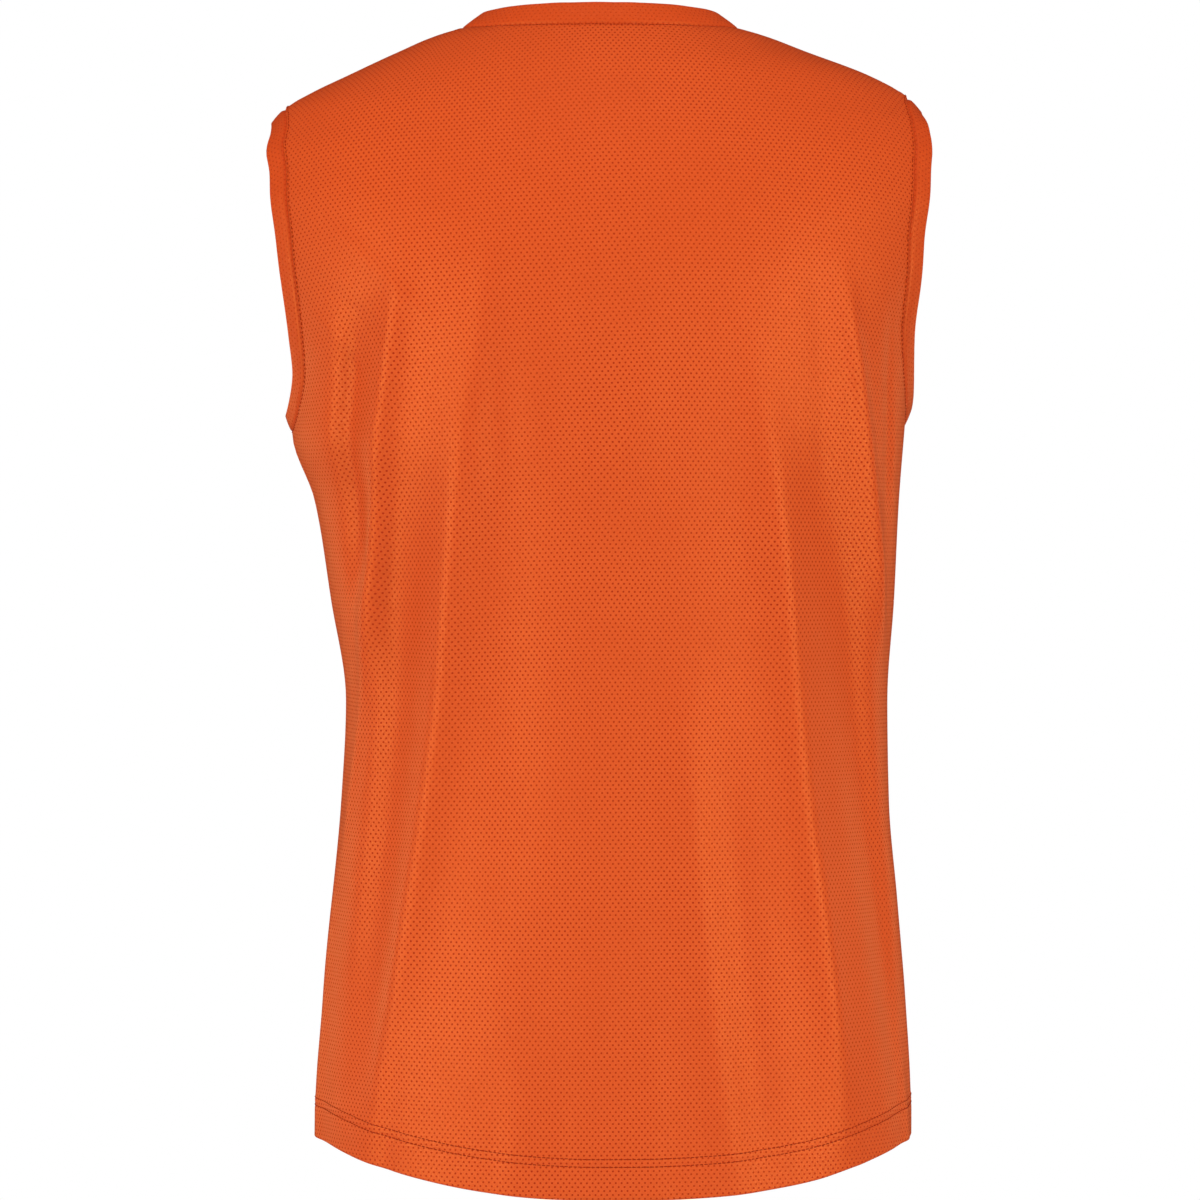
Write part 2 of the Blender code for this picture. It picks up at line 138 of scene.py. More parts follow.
SECTIONS = (
    Section(-0.002, 0.083, 0.083, 0.052, 0.03, 2),
    Section(-0.006, 0.098, 0.098, 0.056, 0.036, 1.95),
    Section(-0.016, 0.122, 0.125, 0.065, 0.047, 1.85),
    Section(-0.03, 0.152, 0.162, 0.075, 0.06, 1.8),
    Section(-0.04, 0.173, 0.181, 0.081, 0.068, 1.76),
    Section(-0.05, 0.19, 0.193, 0.087, 0.075, 1.75),
    Section(-0.062, 0.201, 0.206, 0.0932, 0.082, 1.76),
    Section(-0.08, 0.212, 0.215, 0.101, 0.092, 1.82),
    Section(-0.1, 0.212, 0.214, 0.1074, 0.101, 1.94),
    Section(-0.125, 0.206, 0.206, 0.1133, 0.11, 2.12),
    Section(-0.155, 0.198, 0.198, 0.1174, 0.117, 2.29),
    Section(-0.19, 0.189, 0.188, 0.1196, 0.122, 2.38),
    Section(-0.218, 0.184, 0.184, 0.12, 0.125, 2.4),
    Section(-0.244, 0.184, 0.182, 0.1198, 0.126, 2.4),
    Section(-0.284, 0.171, 0.179, 0.1185, 0.125, 2.4),
    Section(-0.344, 0.161, 0.176, 0.1158, 0.121, 2.4),
    Section(-0.404, 0.152, 0.172, 0.1135, 0.118, 2.4),
    Section(-0.464, 0.155, 0.173, 0.113, 0.117, 2.4),
    Section(-0.524, 0.16, 0.178, 0.114, 0.119, 2.4),
    Section(-0.584, 0.164, 0.183, 0.116, 0.121, 2.35),
    Section(-0.644, 0.168, 0.186, 0.118, 0.123, 2.3),
    Section(-0.7, 0.168, 0.186, 0.119, 0.124, 2.3),
)

SIDE_SEAMS = (
    SideSeam(-0.244, 0.014, -0.01),
    SideSeam(-0.262, 0.02, -0.01),
    SideSeam(-0.29, 0.016, -0.01),
    SideSeam(-0.34, 0.002, -0.01),
    SideSeam(-0.42, -0.006, -0.008),
    SideSeam(-0.69, -0.006, -0.006),
)

NECK_SEAM = (
    NeckPoint(0, -0.0041, 0.74),
    NeckPoint(45, -0.0038, 0.76),
    NeckPoint(75, -0.0029, 0.58),
    NeckPoint(90, -0.0021, 0.36),
    NeckPoint(100, -0.0043, 0.16),
    NeckPoint(112, -0.015, 0.08),
    NeckPoint(125, -0.031, 0.08),
    NeckPoint(140, -0.053, 0.1),
    NeckPoint(155, -0.076, 0.1),
    NeckPoint(168, -0.089, 0.1),
    NeckPoint(180, -0.0928, 0.1),
)

# The folds of the solids: on the back from its left side to its right, then on the front
FOLDS = (
    Fold(57, -0.15, 64.5, -0.36, 1, 0.016, -0.0042),
    Fold(48.8, -0.12, 69, -0.42, 1.7, 0.014, 0.0036),
    Fold(37, -0.215, 61.5, -0.665, 0.4, 0.024, -0.0052),
    Fold(30, -0.12, 61.4, -0.71, 1.15, 0.024, 0.0058),
    Fold(26, -0.13, 25, -0.56, 1, 0.026, -0.0018),
    Fold(0, -0.26, 1, -0.745, 1, 0.034, 0.0012),
    Fold(-24, -0.36, -39, -0.745, 1.5, 0.02, 0.0026),
    Fold(-33, -0.4, -43, -0.72, 1, 0.022, -0.0024),
    Fold(-33.5, -0.15, -62, -0.745, 0.64, 0.024, 0.0058),
    Fold(-42, -0.2, -79, -0.7, 0.56, 0.026, -0.0052),
    Fold(-56.5, -0.13, -77, -0.4, 1.2, 0.013, 0.0034),
    Fold(-70, -0.15, -76, -0.33, 1, 0.012, -0.0024),
    Fold(110, -0.28, 104, -0.745, 1, 0.022, -0.0036),
    Fold(126, -0.15, 112, -0.43, 1.2, 0.016, 0.0032),
    Fold(136, -0.26, 113, -0.745, 0.9, 0.024, -0.005),
    Fold(146, -0.19, 125, -0.745, 0.9, 0.024, 0.0054),
    Fold(160, -0.3, 150, -0.745, 1, 0.026, 0.0034),
    Fold(168, -0.38, 163, -0.745, 1, 0.024, -0.0026),
    Fold(-168, -0.4, -161, -0.745, 1, 0.024, 0.0028),
    Fold(-151, -0.17, -131, -0.745, 0.8, 0.024, 0.0056),
    Fold(-140, -0.23, -118, -0.745, 0.8, 0.024, -0.0054),
    Fold(-124, -0.14, -109, -0.4, 1.1, 0.016, 0.0032),
    Fold(-108, -0.42, -104, -0.745, 1, 0.022, 0.003),
)

# Finer creases, shallow and uneven: drag lines beside the armholes, slack at the waist
# and ripples that run out through the hem
CREASES = (
    # Crests and bottoms of the back's large folds, narrower than the folds themselves
    Fold(59, -0.165, 66, -0.345, 1, 0.009, -0.002),
    Fold(48.8, -0.13, 69, -0.42, 1.7, 0.008, 0.0016),
    Fold(43, -0.23, 65, -0.61, 0.44, 0.014, -0.0024),
    Fold(31, -0.16, 61.2, -0.7, 1.15, 0.01, 0.0019),
    Fold(-24.3, -0.38, -38, -0.72, 1.5, 0.011, 0.0004),
    Fold(-33, -0.42, -42, -0.69, 1, 0.012, -0.0004),
    Fold(-34.5, -0.17, -61.5, -0.73, 0.66, 0.01, 0.0021),
    Fold(-47, -0.215, -82.5, -0.68, 0.57, 0.014, -0.0024),
    Fold(-57, -0.14, -76, -0.385, 1.2, 0.008, 0.0017),
    # Drag lines beside the armholes, slack at the waist and ripples through the hem
    Fold(66, -0.12, 40, -0.19, 1, 0.008, 0.0009),
    Fold(70, -0.145, 46, -0.205, 1.1, 0.007, -0.0008),
    Fold(71, -0.168, 50, -0.228, 0.9, 0.007, 0.0009),
    Fold(30, -0.105, 31.5, -0.33, 1, 0.01, 0.0012),
    Fold(12, -0.08, 13, -0.3, 1, 0.016, -0.0008),
    Fold(-15, -0.09, -12, -0.28, 1, 0.015, 0.0007),
    Fold(-51, -0.125, -56, -0.3, 1, 0.012, -0.0013),
    Fold(-69, -0.15, -78, -0.3, 0.9, 0.007, 0.001),
    Fold(60, -0.3, 78, -0.52, 1, 0.01, 0.0012),
    Fold(80, -0.48, 84, -0.8, 1, 0.017, 0.003),
    Fold(52, -0.56, 58, -0.76, 1.2, 0.011, -0.0012),
    Fold(22, -0.59, 25, -0.76, 1, 0.014, 0.001),
    Fold(10, -0.6, 12, -0.76, 1, 0.012, -0.0009),
    Fold(-14, -0.56, -17, -0.76, 1.1, 0.013, 0.001),
    Fold(-57, -0.58, -62, -0.76, 0.9, 0.012, -0.0012),
    Fold(-76, -0.48, -82, -0.76, 1, 0.011, 0.0016),
    Fold(114, -0.13, 138, -0.2, 1, 0.008, 0.0009),
    Fold(111, -0.16, 131, -0.226, 0.9, 0.007, -0.0009),
    Fold(154, -0.12, 152, -0.3, 1, 0.013, 0.001),
    Fold(172, -0.11, 174, -0.29, 1, 0.015, -0.0008),
    Fold(-158, -0.12, -156, -0.31, 1, 0.014, 0.0009),
    Fold(-113, -0.14, -133, -0.21, 1.1, 0.008, -0.0009),
    Fold(120, -0.52, 117, -0.76, 1, 0.012, 0.0014),
    Fold(178, -0.56, -179, -0.76, 1, 0.014, 0.001),
    Fold(-146, -0.54, -143, -0.76, 0.9, 0.012, -0.0012),
    Fold(-116, -0.5, -112, -0.76, 1, 0.012, 0.0013),
)

# Height, speed and start of each sine of a ripple, and the heights add up to 2
RIPPLE_SINES = ((1.0, 1.0, 1.0), (0.6, 0.63, 2.1), (0.4, 1.57, 3.7))


def eased(knots: Array, values: Array, at: Array) -> Array:
    """Reads a smooth curve through given values.

    Between two knots the curve is a cubic, and its slope at a knot is the weighted
    harmonic mean of the rises on either side, so that it never overshoots.

    Args:
        knots: Places of the values, rising.
        values: A value for each knot.
        at: Places to read the curve at. Beyond the ends it keeps its end value.

    Returns:
        The curve's values.
    """
    step = np.diff(knots)
    rise = np.diff(values) / step
    slope = np.zeros(len(knots))
    slope[0], slope[-1] = rise[0], rise[-1]
    onward = rise[:-1] * rise[1:] > 0
    near = (2 * step[1:] + step[:-1])[onward]
    far = (step[1:] + 2 * step[:-1])[onward]
    slope[1:-1][onward] = (near + far) / (near / rise[:-1][onward] + far / rise[1:][onward])
    at = np.clip(at, knots[0], knots[-1])
    i = np.clip(np.searchsorted(knots, at) - 1, 0, len(step) - 1)
    t = (at - knots[i]) / step[i]
    start = values[i] * (1 + 2 * t) * (1 - t) ** 2 + slope[i] * step[i] * t * (1 - t) ** 2
    end = values[i + 1] * t * t * (3 - 2 * t) + slope[i + 1] * step[i] * t * t * (t - 1)
    return start + end


def column(table: tuple, name: str, at: Array, key: str = "height") -> Array:
    """Reads one column of a table smoothly.

    Args:
        table: Rows with named columns.
        name: The column to read.
        at: Places along the key column.
        key: The column that the rows are placed by.

    Returns:
        The column's values at those places.
    """
    rows = sorted(table, key=lambda row: getattr(row, key))
    knots = np.array([getattr(row, key) for row in rows])
    return eased(knots, np.array([getattr(row, name) for row in rows]), at)


def unit(vectors: Array) -> Array:
    """Vectors of length 1."""
    return vectors / np.linalg.norm(vectors, axis=-1, keepdims=True)


def ramp(share: Array) -> Array:
    """0 below 0 and 1 above 1, with a smooth climb between them."""
    share = np.clip(share, 0, 1)
    return share * share * (3 - 2 * share)


def wrapped(bearing: Array) -> Array:
    """The same bearing between -180 and 180 degrees."""
    return (bearing + 180) % 360 - 180


def dab(distance: Array, reach: float) -> Array:
    """1 at no distance, falling smoothly to nearly 0 at about twice the reach."""
    return np.exp(-((distance / reach) ** 2))


def round_mean(vectors: Array, reach: int = 2) -> Array:
    """Directions round a closed line, each a mean over its neighbours."""
    shifts = range(-reach, reach + 1)
    return unit(sum(np.roll(vectors, shift, axis=0) for shift in shifts))


def walk(points: Array, axis: int = 0) -> Array:
    """Distance walked to each point along one axis of a grid of points."""
    steps = np.linalg.norm(np.diff(points, axis=axis), axis=-1)
    return np.insert(np.cumsum(steps, axis=axis), 0, 0.0, axis=axis)


def evenly(points: Array, count: int, start_margin: float = 0, end_margin: float = 0) -> Array:
    """Parts a closely given path into equal lengths.

    Args:
        points: The path.
        count: Number of lengths.
        start_margin: Distance of an added point after the start, if any.
        end_margin: Distance of an added point before the end, if any.

    Returns:
        The points between the lengths, with both ends.
    """
    walked = walk(points)
    wanted = np.linspace(0, walked[-1], count + 1)
    if start_margin:
        wanted = np.insert(wanted, 1, start_margin)
    if end_margin:
        wanted = np.insert(wanted, -1, walked[-1] - end_margin)
    return read_path(wanted, walked, points)


def smooth_between(net: Array, breaks: tuple[int, ...], at: Array) -> Array:
    """Reads a net of points smoothly at fractional row numbers.

    Each stretch between two breaks is a chain of cubics whose slope at a row is the
    difference of its neighbours, so the net may have a corner at a break.

    Args:
        net: Points on rows, along the first axis.
        breaks: Row numbers of the corners, with the first and last row.
        at: Fractional row numbers, rising.

    Returns:
        The rows read there.
    """
    made = np.empty((len(at), *net.shape[1:]))
    for start, stop in pairwise(breaks):
        span = net[start : stop + 1]
        slope = np.gradient(span, axis=0, edge_order=2)
        inside = (at >= start) & (at <= stop)
        cell = np.minimum((at[inside] - start).astype(int), stop - start - 1)
        t = (at[inside] - start - cell).reshape(-1, *[1] * (net.ndim - 1))
        near = span[cell] * (1 + 2 * t) + slope[cell] * t
        far = span[cell + 1] * (3 - 2 * t) + slope[cell + 1] * (t - 1)
        made[inside] = near * (1 - t) ** 2 + far * t * t
    return made


def read_path(at: Array, walked: Array, path: Array) -> Array:
    """Points of a path at walked distances, straight between its own points."""
    return np.stack([np.interp(at, walked, path[:, k]) for k in range(3)], axis=-1)


def ripple(along: Array, length: float, turn: float) -> Array:
    """An uneven wave between -1 and 1: three sines whose lengths don't fit one another.

    Args:
        along: Distance along the wave.
        length: Length of its main sine.
        turn: Where it starts, in radians.

    Returns:
        The wave's height.
    """
    phase = 2 * np.pi * along / length
    waves = (high * np.sin(fast * phase + start * turn) for high, fast, start in RIPPLE_SINES)
    return sum(waves) / 2


@dataclass(frozen=True)
class BodyForm:
    """The round form that the cloth hangs on: level sections, eased into one another.

    Each section is four quarter superellipses, one for each pair of sides.
    """

    sections: tuple[Section, ...] = SECTIONS
    probe: float = 0.0002
    longest_move: float = 0.004

    def sizes(self, x: Array, y: Array, z: Array) -> tuple[Array, Array, Array]:
        """Half width, half depth and squareness of the section through points."""
        names = ("left", "right", "back", "front", "square")
        left, right, back, front, square = (column(self.sections, name, z) for name in names)
        return np.where(x > 0, left, right), np.where(y > 0, back, front), square

    def at(self, bearing: Array, height: Array) -> Array:
        """Points of the form at bearings in degrees and heights.

        A ray at the bearing leaves the middle and meets the superellipse where the
        powers of its two shares add up to 1.
        """
        across, along = np.sin(np.radians(bearing)), np.cos(np.radians(bearing))
        wide, deep, square = self.sizes(across, along, height)
        powers = (np.abs(across) / wide) ** square + (np.abs(along) / deep) ** square
        reach = powers ** (-1 / square)
        return np.stack([reach * across, reach * along, height + 0 * reach], axis=-1)

    def on_side(self, depth: Array, height: Array, side: Side) -> Array:
        """Points of the form at depths and heights, on one side."""
        wide, deep, square = self.sizes(side.sign + 0 * depth, depth, height)
        share = 1 - np.minimum(np.abs(depth) / deep, 1) ** square
        return np.stack([side.sign * wide * share ** (1 / square), depth, height], axis=-1)

    def gauge(self, points: Array) -> Array:
        """1 on the form, less inside it and more outside."""
        x, y, z = np.moveaxis(points, -1, 0)
        wide, deep, square = self.sizes(x, y, z)
        return ((np.abs(x) / wide) ** square + (np.abs(y) / deep) ** square) ** (1 / square)

    def slope(self, points: Array) -> Array:
        """Gradient of the gauge, by central differences."""
        moves = np.eye(3) * self.probe
        rises = [self.gauge(points + move) - self.gauge(points - move) for move in moves]
        return np.stack(rises, axis=-1) / (2 * self.probe)

    def outward(self, points: Array) -> Array:
        """Directions that look straight out of the form."""
        return unit(self.slope(points))

    def settle(self, points: Array, rounds: int = 30) -> Array:
        """Moves points to the nearest place on the form, by Newton's method."""
        for _ in range(rounds):
            slope = self.slope(points)
            steep = np.linalg.norm(slope, axis=-1)
            move = (self.gauge(points) - 1) / steep
            move = np.clip(move, -self.longest_move, self.longest_move)
            points = points - (move / steep)[..., None] * slope
        return points

    def bearing(self, points: Array) -> Array:
        """Bearings of points, in degrees."""
        return np.degrees(np.arctan2(points[..., 0], points[..., 1]))


@dataclass(frozen=True)
class FoldSet:
    """Folds that lift or sink the cloth.

    Across a fold its height is a bell curve, and along it the height swells from the
    head and fades towards the foot.
    """

    form: BodyForm
    folds: tuple[Fold, ...]
    swell: float = 0.30
    fade: float = 0.30
    sharpness: float = 2.5

    def lift(self, points: Array) -> Array:
        """How far the folds lift the cloth off the form at each point."""
        x, y, z = np.moveaxis(points, -1, 0)
        bearing = self.form.bearing(points)
        reach = np.hypot(x, y)
        lift = np.zeros_like(z)
        for fold in self.folds:
            share = np.clip((fold.head - z) / (fold.head - fold.foot), 0, 1)
            swing = wrapped(fold.foot_bearing - fold.head_bearing)
            line = fold.head_bearing + share**fold.bend * swing
            across = np.radians(wrapped(bearing - line)) * reach / fold.width
            strength = ramp(share / self.swell) * ramp((1 - share) / self.fade)
            lift += fold.depth * strength * np.exp(-self.sharpness * across**2)
        return lift


@dataclass(frozen=True)
class Cut:
    """Where the garment's edges and seams lie on the form."""

    form: BodyForm
    armhole_back: float = 0.057
    armhole_front: float = 0.066
    armhole_flare: float = 0.5
    shoulder_droop: float = 0.06
    droop_height: float = 0.022
    foot_swing_power: int = 4
    shoulder_forward: float = 0.012
    shoulder_neck_bearing: float = 98.0
    hem_side: float = -0.662
    hem_drop_back: float = 0.0265
    hem_drop_front: float = 0.018
    hem_step: float = 0.0022
    hem_step_at: float = -0.135
    hem_step_width: float = 0.004
    rows_below: int = 17
    rows_above: int = 17
    shoulder_columns: int = 11
    seam_margin: float = 0.004
    spread_at: float = -0.40
    side_pull: float = 0.42
    fine_count: int = 240
    hem_rounds: int = 4

    def armhole_ends(self, side: Side) -> tuple[float, float]:
        """Heights of the top and foot of an armhole."""
        return (-0.0494, -0.2440) if side is Side.LEFT else (-0.0430, -0.2415)

    def hem_flatness(self, x: Array) -> Array:
        """How flat the hem's curve is on each side (2 is a parabola)."""
        return np.where(x > 0, 2.0, 2.7)

    def neck_columns(self, facing: Facing) -> int:
        """Number of columns of a panel that end at its neck seam."""
        return 26 if facing is Facing.BACK else 24

    def hem_height(self, bearing: Array) -> Array:
        """Height of the hem's edge, lowest at the centre back and front."""
        x = self.form.at(bearing, self.hem_side + 0 * bearing)[..., 0]
        wide = self.form.sizes(x, 0 * x, self.hem_side + 0 * x)[0]
        dropped = 1 - np.clip(np.abs(x) / wide, 0, 1) ** self.hem_flatness(x)
        step = self.hem_step / (1 + np.exp((x - self.hem_step_at) / self.hem_step_width))
        at_back = np.cos(np.radians(bearing)) > 0
        drop = np.where(at_back, self.hem_drop_back - step, self.hem_drop_front)
        return self.hem_side - drop * dropped

    def armhole_arc(self, side: Side, start: float, end: float) -> Array:
        """Armhole seam between two turns, an ellipse seen from the side.

        Turn 0 is its top, 90 degrees its back and 180 its foot, which swings to the
        side seam.
        """
        turn = np.radians(np.linspace(start, end, self.fine_count))
        top, foot = self.armhole_ends(side)
        height = (top + foot) / 2 + (top - foot) / 2 * np.cos(turn)
        reach = np.where(np.sin(turn) > 0, self.armhole_back, self.armhole_front)
        swing = ((1 - np.cos(turn)) / 2) ** self.foot_swing_power
        depth = reach * np.sin(turn) + getattr(SIDE_SEAMS[0], side.value) * swing
        return self.form.on_side(depth, height, side)

    def armhole_edge(self, side: Side, facing: Facing) -> Array:
        """A panel's own stretch of the armhole seam, from its foot to the shoulder."""
        head = np.degrees(np.arcsin(-self.shoulder_forward / self.armhole_front))
        arc = self.armhole_arc(side, 180, facing.in_turn(head))
        return evenly(arc, self.rows_above, end_margin=self.seam_margin)

    def armhole_lean(self, side: Side, seam: Array) -> Array:
        """How a band leans away from the cloth's own direction at points of its seam.

        Over the shoulder it droops, and further down it flares outwards.
        """
        top = self.armhole_ends(side)[0]
        flared = ramp((top - seam[:, 2:]) / self.droop_height)
        droop = self.shoulder_droop * (1 - flared) * UPRIGHT
        return self.armhole_flare * flared * side.sideways - droop

    def neck_seam(self, start: float, end: float) -> Array:
        """Neck seam between two bearings."""
        bearing = np.linspace(start, end, self.fine_count)
        around = np.abs(wrapped(bearing))
        return self.form.at(bearing, column(NECK_SEAM, "height", around, key="bearing"))

    def seam_bearing(self, side: Side, height: Array, facing: Facing) -> Array:
        """Bearings of a side seam, as one panel counts them."""
        depth = column(SIDE_SEAMS, side.value, height)
        return facing.in_turn(self.form.bearing(self.form.on_side(depth, height, side)))

    def even_shares(self, facing: Facing, count: int) -> Array:
        """Shares of the way round the waist that part it into even lengths."""
        right, left = facing.in_turn(-90.0), 90.0
        bearing = np.linspace(right, left, self.fine_count)
        path = self.form.at(bearing, np.full(self.fine_count, self.spread_at))
        laid = self.form.bearing(evenly(path, count, self.seam_margin, self.seam_margin))
        return (facing.in_turn(laid) - right) / (left - right)

    def lower_rows(self, facing: Facing, count: int, armpits: dict[Side, float]) -> Array:
        """Rows from the hem up to the armpits, laid round the form between side seams."""
        share = self.even_shares(facing, count)
        rows = []
        for climb in np.linspace(0, 1, self.rows_below + 1):
            bearing = np.full(len(share), 0.0 if facing is Facing.BACK else 180.0)
            for _ in range(self.hem_rounds):
                hem = self.hem_height(bearing)
                top = armpits[Side.RIGHT] + share * (armpits[Side.LEFT] - armpits[Side.RIGHT])
                height = hem + climb * (top - hem)
                right = self.seam_bearing(Side.RIGHT, height[:1], facing)
                left = self.seam_bearing(Side.LEFT, height[-1:], facing)
                bearing = right + share * (left - right)
            rows.append(self.form.at(bearing, height))
        return np.array(rows)

    def top_edge(self, facing: Facing, tips: dict[Side, Array]) -> Array:
        """Top edge of a panel: right shoulder, neck and left shoulder."""
        turn = self.shoulder_neck_bearing
        seam = self.neck_seam(facing.in_turn(-turn), turn)
        neck = evenly(seam, self.neck_columns(facing))
        across = np.linspace(0, 1, self.fine_count)[:, None]
        right = self.form.settle(tips[Side.RIGHT] * (1 - across) + neck[0] * across)
        left = self.form.settle(neck[-1] * (1 - across) + tips[Side.LEFT] * across)
        right = evenly(right, self.shoulder_columns, start_margin=self.seam_margin)
        left = evenly(left, self.shoulder_columns, end_margin=self.seam_margin)
        return np.concatenate([right[:-1], neck, left[1:]])

    def upper_rows(self, bottom: Array, top: Array, right: Array, left: Array) -> Array:
        """Rows between four edges, laid on the form.

        Each row is a blend of the bottom and top edges, drawn out at its ends to the
        side edges by a pull that dies away inwards.
        """
        climbed, crossed = walk(left), walk(bottom)
        v = (climbed / climbed[-1])[:, None, None]
        u = (crossed / crossed[-1])[None, :, None]
        level = (1 - v) * bottom[None] + v * top[None]
        near_right = 1 - ramp(u / self.side_pull)
        near_left = 1 - ramp((1 - u) / self.side_pull)
        pull = near_right * (right[:, None] - level[:, :1])
        rows = self.form.settle(level + pull + near_left * (left[:, None] - level[:, -1:]))
        for edge, beside, inner in ((right, 1, 2), (left, -2, -3)):
            step = self.seam_margin * unit(rows[:, inner] - edge)
            rows[:, beside] = self.form.settle(edge + step)
        rows[0], rows[-1], rows[:, 0], rows[:, -1] = bottom, top, right, left
        return rows

    def net(self, facing: Facing) -> Array:
        """Coarse rows of a whole panel on the form, from the hem to the top edge."""
        count = 2 * self.shoulder_columns + self.neck_columns(facing)
        edges = {side: self.armhole_edge(side, facing) for side in Side}
        armpits = {side: edge[0][2] for side, edge in edges.items()}
        tips = {side: edge[-1] for side, edge in edges.items()}
        lower = self.lower_rows(facing, count, armpits)
        lower[-1, 0], lower[-1, -1] = edges[Side.RIGHT][0], edges[Side.LEFT][0]
        top = self.top_edge(facing, tips)
        upper = self.upper_rows(lower[-1], top, edges[Side.RIGHT], edges[Side.LEFT])
        return np.concatenate([lower, upper[1:]])


def laid_flat(net: Array, rounds: int = 5000) -> Array:
    """Lays a net of cloth flat, as it was cut.

    The points start at their distances walked along their row from the middle column
    and up their own column. Then each pair of neighbours, along, up and across both
    diagonals, draws together or apart to its true distance, and every point takes the
    mean of its pulls, in which a short pair counts for more than a long one.

    Args:
        net: Rows of points in space.
        rounds: Number of pulls.

    Returns:
        Rows of places on the flat cloth, the first axis across and the second up.
    """
    middle = net.shape[1] // 2
    across = walk(net, axis=1)
    up = walk(net) + net[:1, :, 2] - net[0, middle, 2]
    flat = np.stack([across - across[:, middle : middle + 1], up], axis=-1)
    whole, first, last = slice(None), slice(None, -1), slice(1, None)
    links = (
        ((whole, first), (whole, last)),
        ((first, whole), (last, whole)),
        ((first, first), (last, last)),
        ((first, last), (last, first)),
    )
    lengths = [np.linalg.norm(net[b] - net[a], axis=-1) for a, b in links]
    weight = np.zeros(across.shape)
    for (a, b), length in zip(links, lengths):
        weight[a] += 1 / length
        weight[b] += 1 / length
    for _ in range(rounds):
        moves = np.zeros_like(flat)
        for (a, b), length in zip(links, lengths):
            apart = flat[b] - flat[a]
            pull = (1 / length - 1 / np.linalg.norm(apart, axis=-1))[..., None] * apart / 2
            moves[a] += pull
            moves[b] -= pull
        flat = flat + moves / weight[..., None]
        flat[:, middle, 0] = 0.0
    return flat


def cell_corners(grid: Array) -> Array:
    """The values at the four corners of each cell of a grid, going round it."""
    return np.stack([grid[:-1, :-1], grid[:-1, 1:], grid[1:, 1:], grid[1:, :-1]], axis=2)


def diagonals(corners: Array) -> tuple[Array, Array]:
    """Both diagonals of cells whose corners are given round them."""
    return corners[:, :, 2] - corners[:, :, 0], corners[:, :, 3] - corners[:, :, 1]


def flat_area(flat: Array) -> float:
    """Area of a flat grid, half the cross product of each cell's diagonals."""
    one, other = diagonals(cell_corners(flat))
    return float(np.abs(one[..., 0] * other[..., 1] - one[..., 1] * other[..., 0]).sum() / 2)


def linked(data: bpy.types.Mesh | bpy.types.Light | bpy.types.Camera) -> bpy.types.Object:
    """Puts a mesh, a lamp or a camera into the scene under its own name."""
    placed = bpy.data.objects.new(data.name, data)
    bpy.context.scene.collection.objects.link(placed)
    return placed


def grid_object(
    name: str, points: Array, places: Array, closed: bool, outward: Array
) -> bpy.types.Object:
    """Makes an object from a grid of points.

    Args:
        name: Name of the piece.
        points: Rows of points.
        places: Rows of places on the flat cloth, with one more column on a closed grid.
        closed: Whether each row's end joins its start.
        outward: Directions that the faces should look in, a row for each row of cells.

    Returns:
        The object, with its places in a UV map in metres.
    """
    rows, columns = points.shape[:2]
    index = np.arange(rows * columns).reshape(rows, columns)
    if closed:
        index = np.concatenate([index, index[:, :1]], axis=1)
    corners, shown = cell_corners(index), cell_corners(places)
    listed = points.reshape(-1, 3)
    if np.sum(np.cross(*diagonals(listed[corners])) * outward) < 0:
        corners, shown = corners[..., ::-1], shown[:, :, ::-1]
    mesh = bpy.data.meshes.new(name)
    mesh.from_pydata(listed.tolist(), [], corners.reshape(-1, 4).tolist())
    layer = mesh.uv_layers.new(name="cut")
    layer.data.foreach_set("uv", shown.reshape(-1))
    mesh.shade_smooth()
    return linked(mesh)


def give_wall(piece: bpy.types.Object, thickness: float) -> None:
    """Gives a surface the wall of one layer of cloth, inwards."""
    wall = piece.modifiers.new("Wall", "SOLIDIFY")
    wall.thickness = thickness
    wall.offset = -1.0


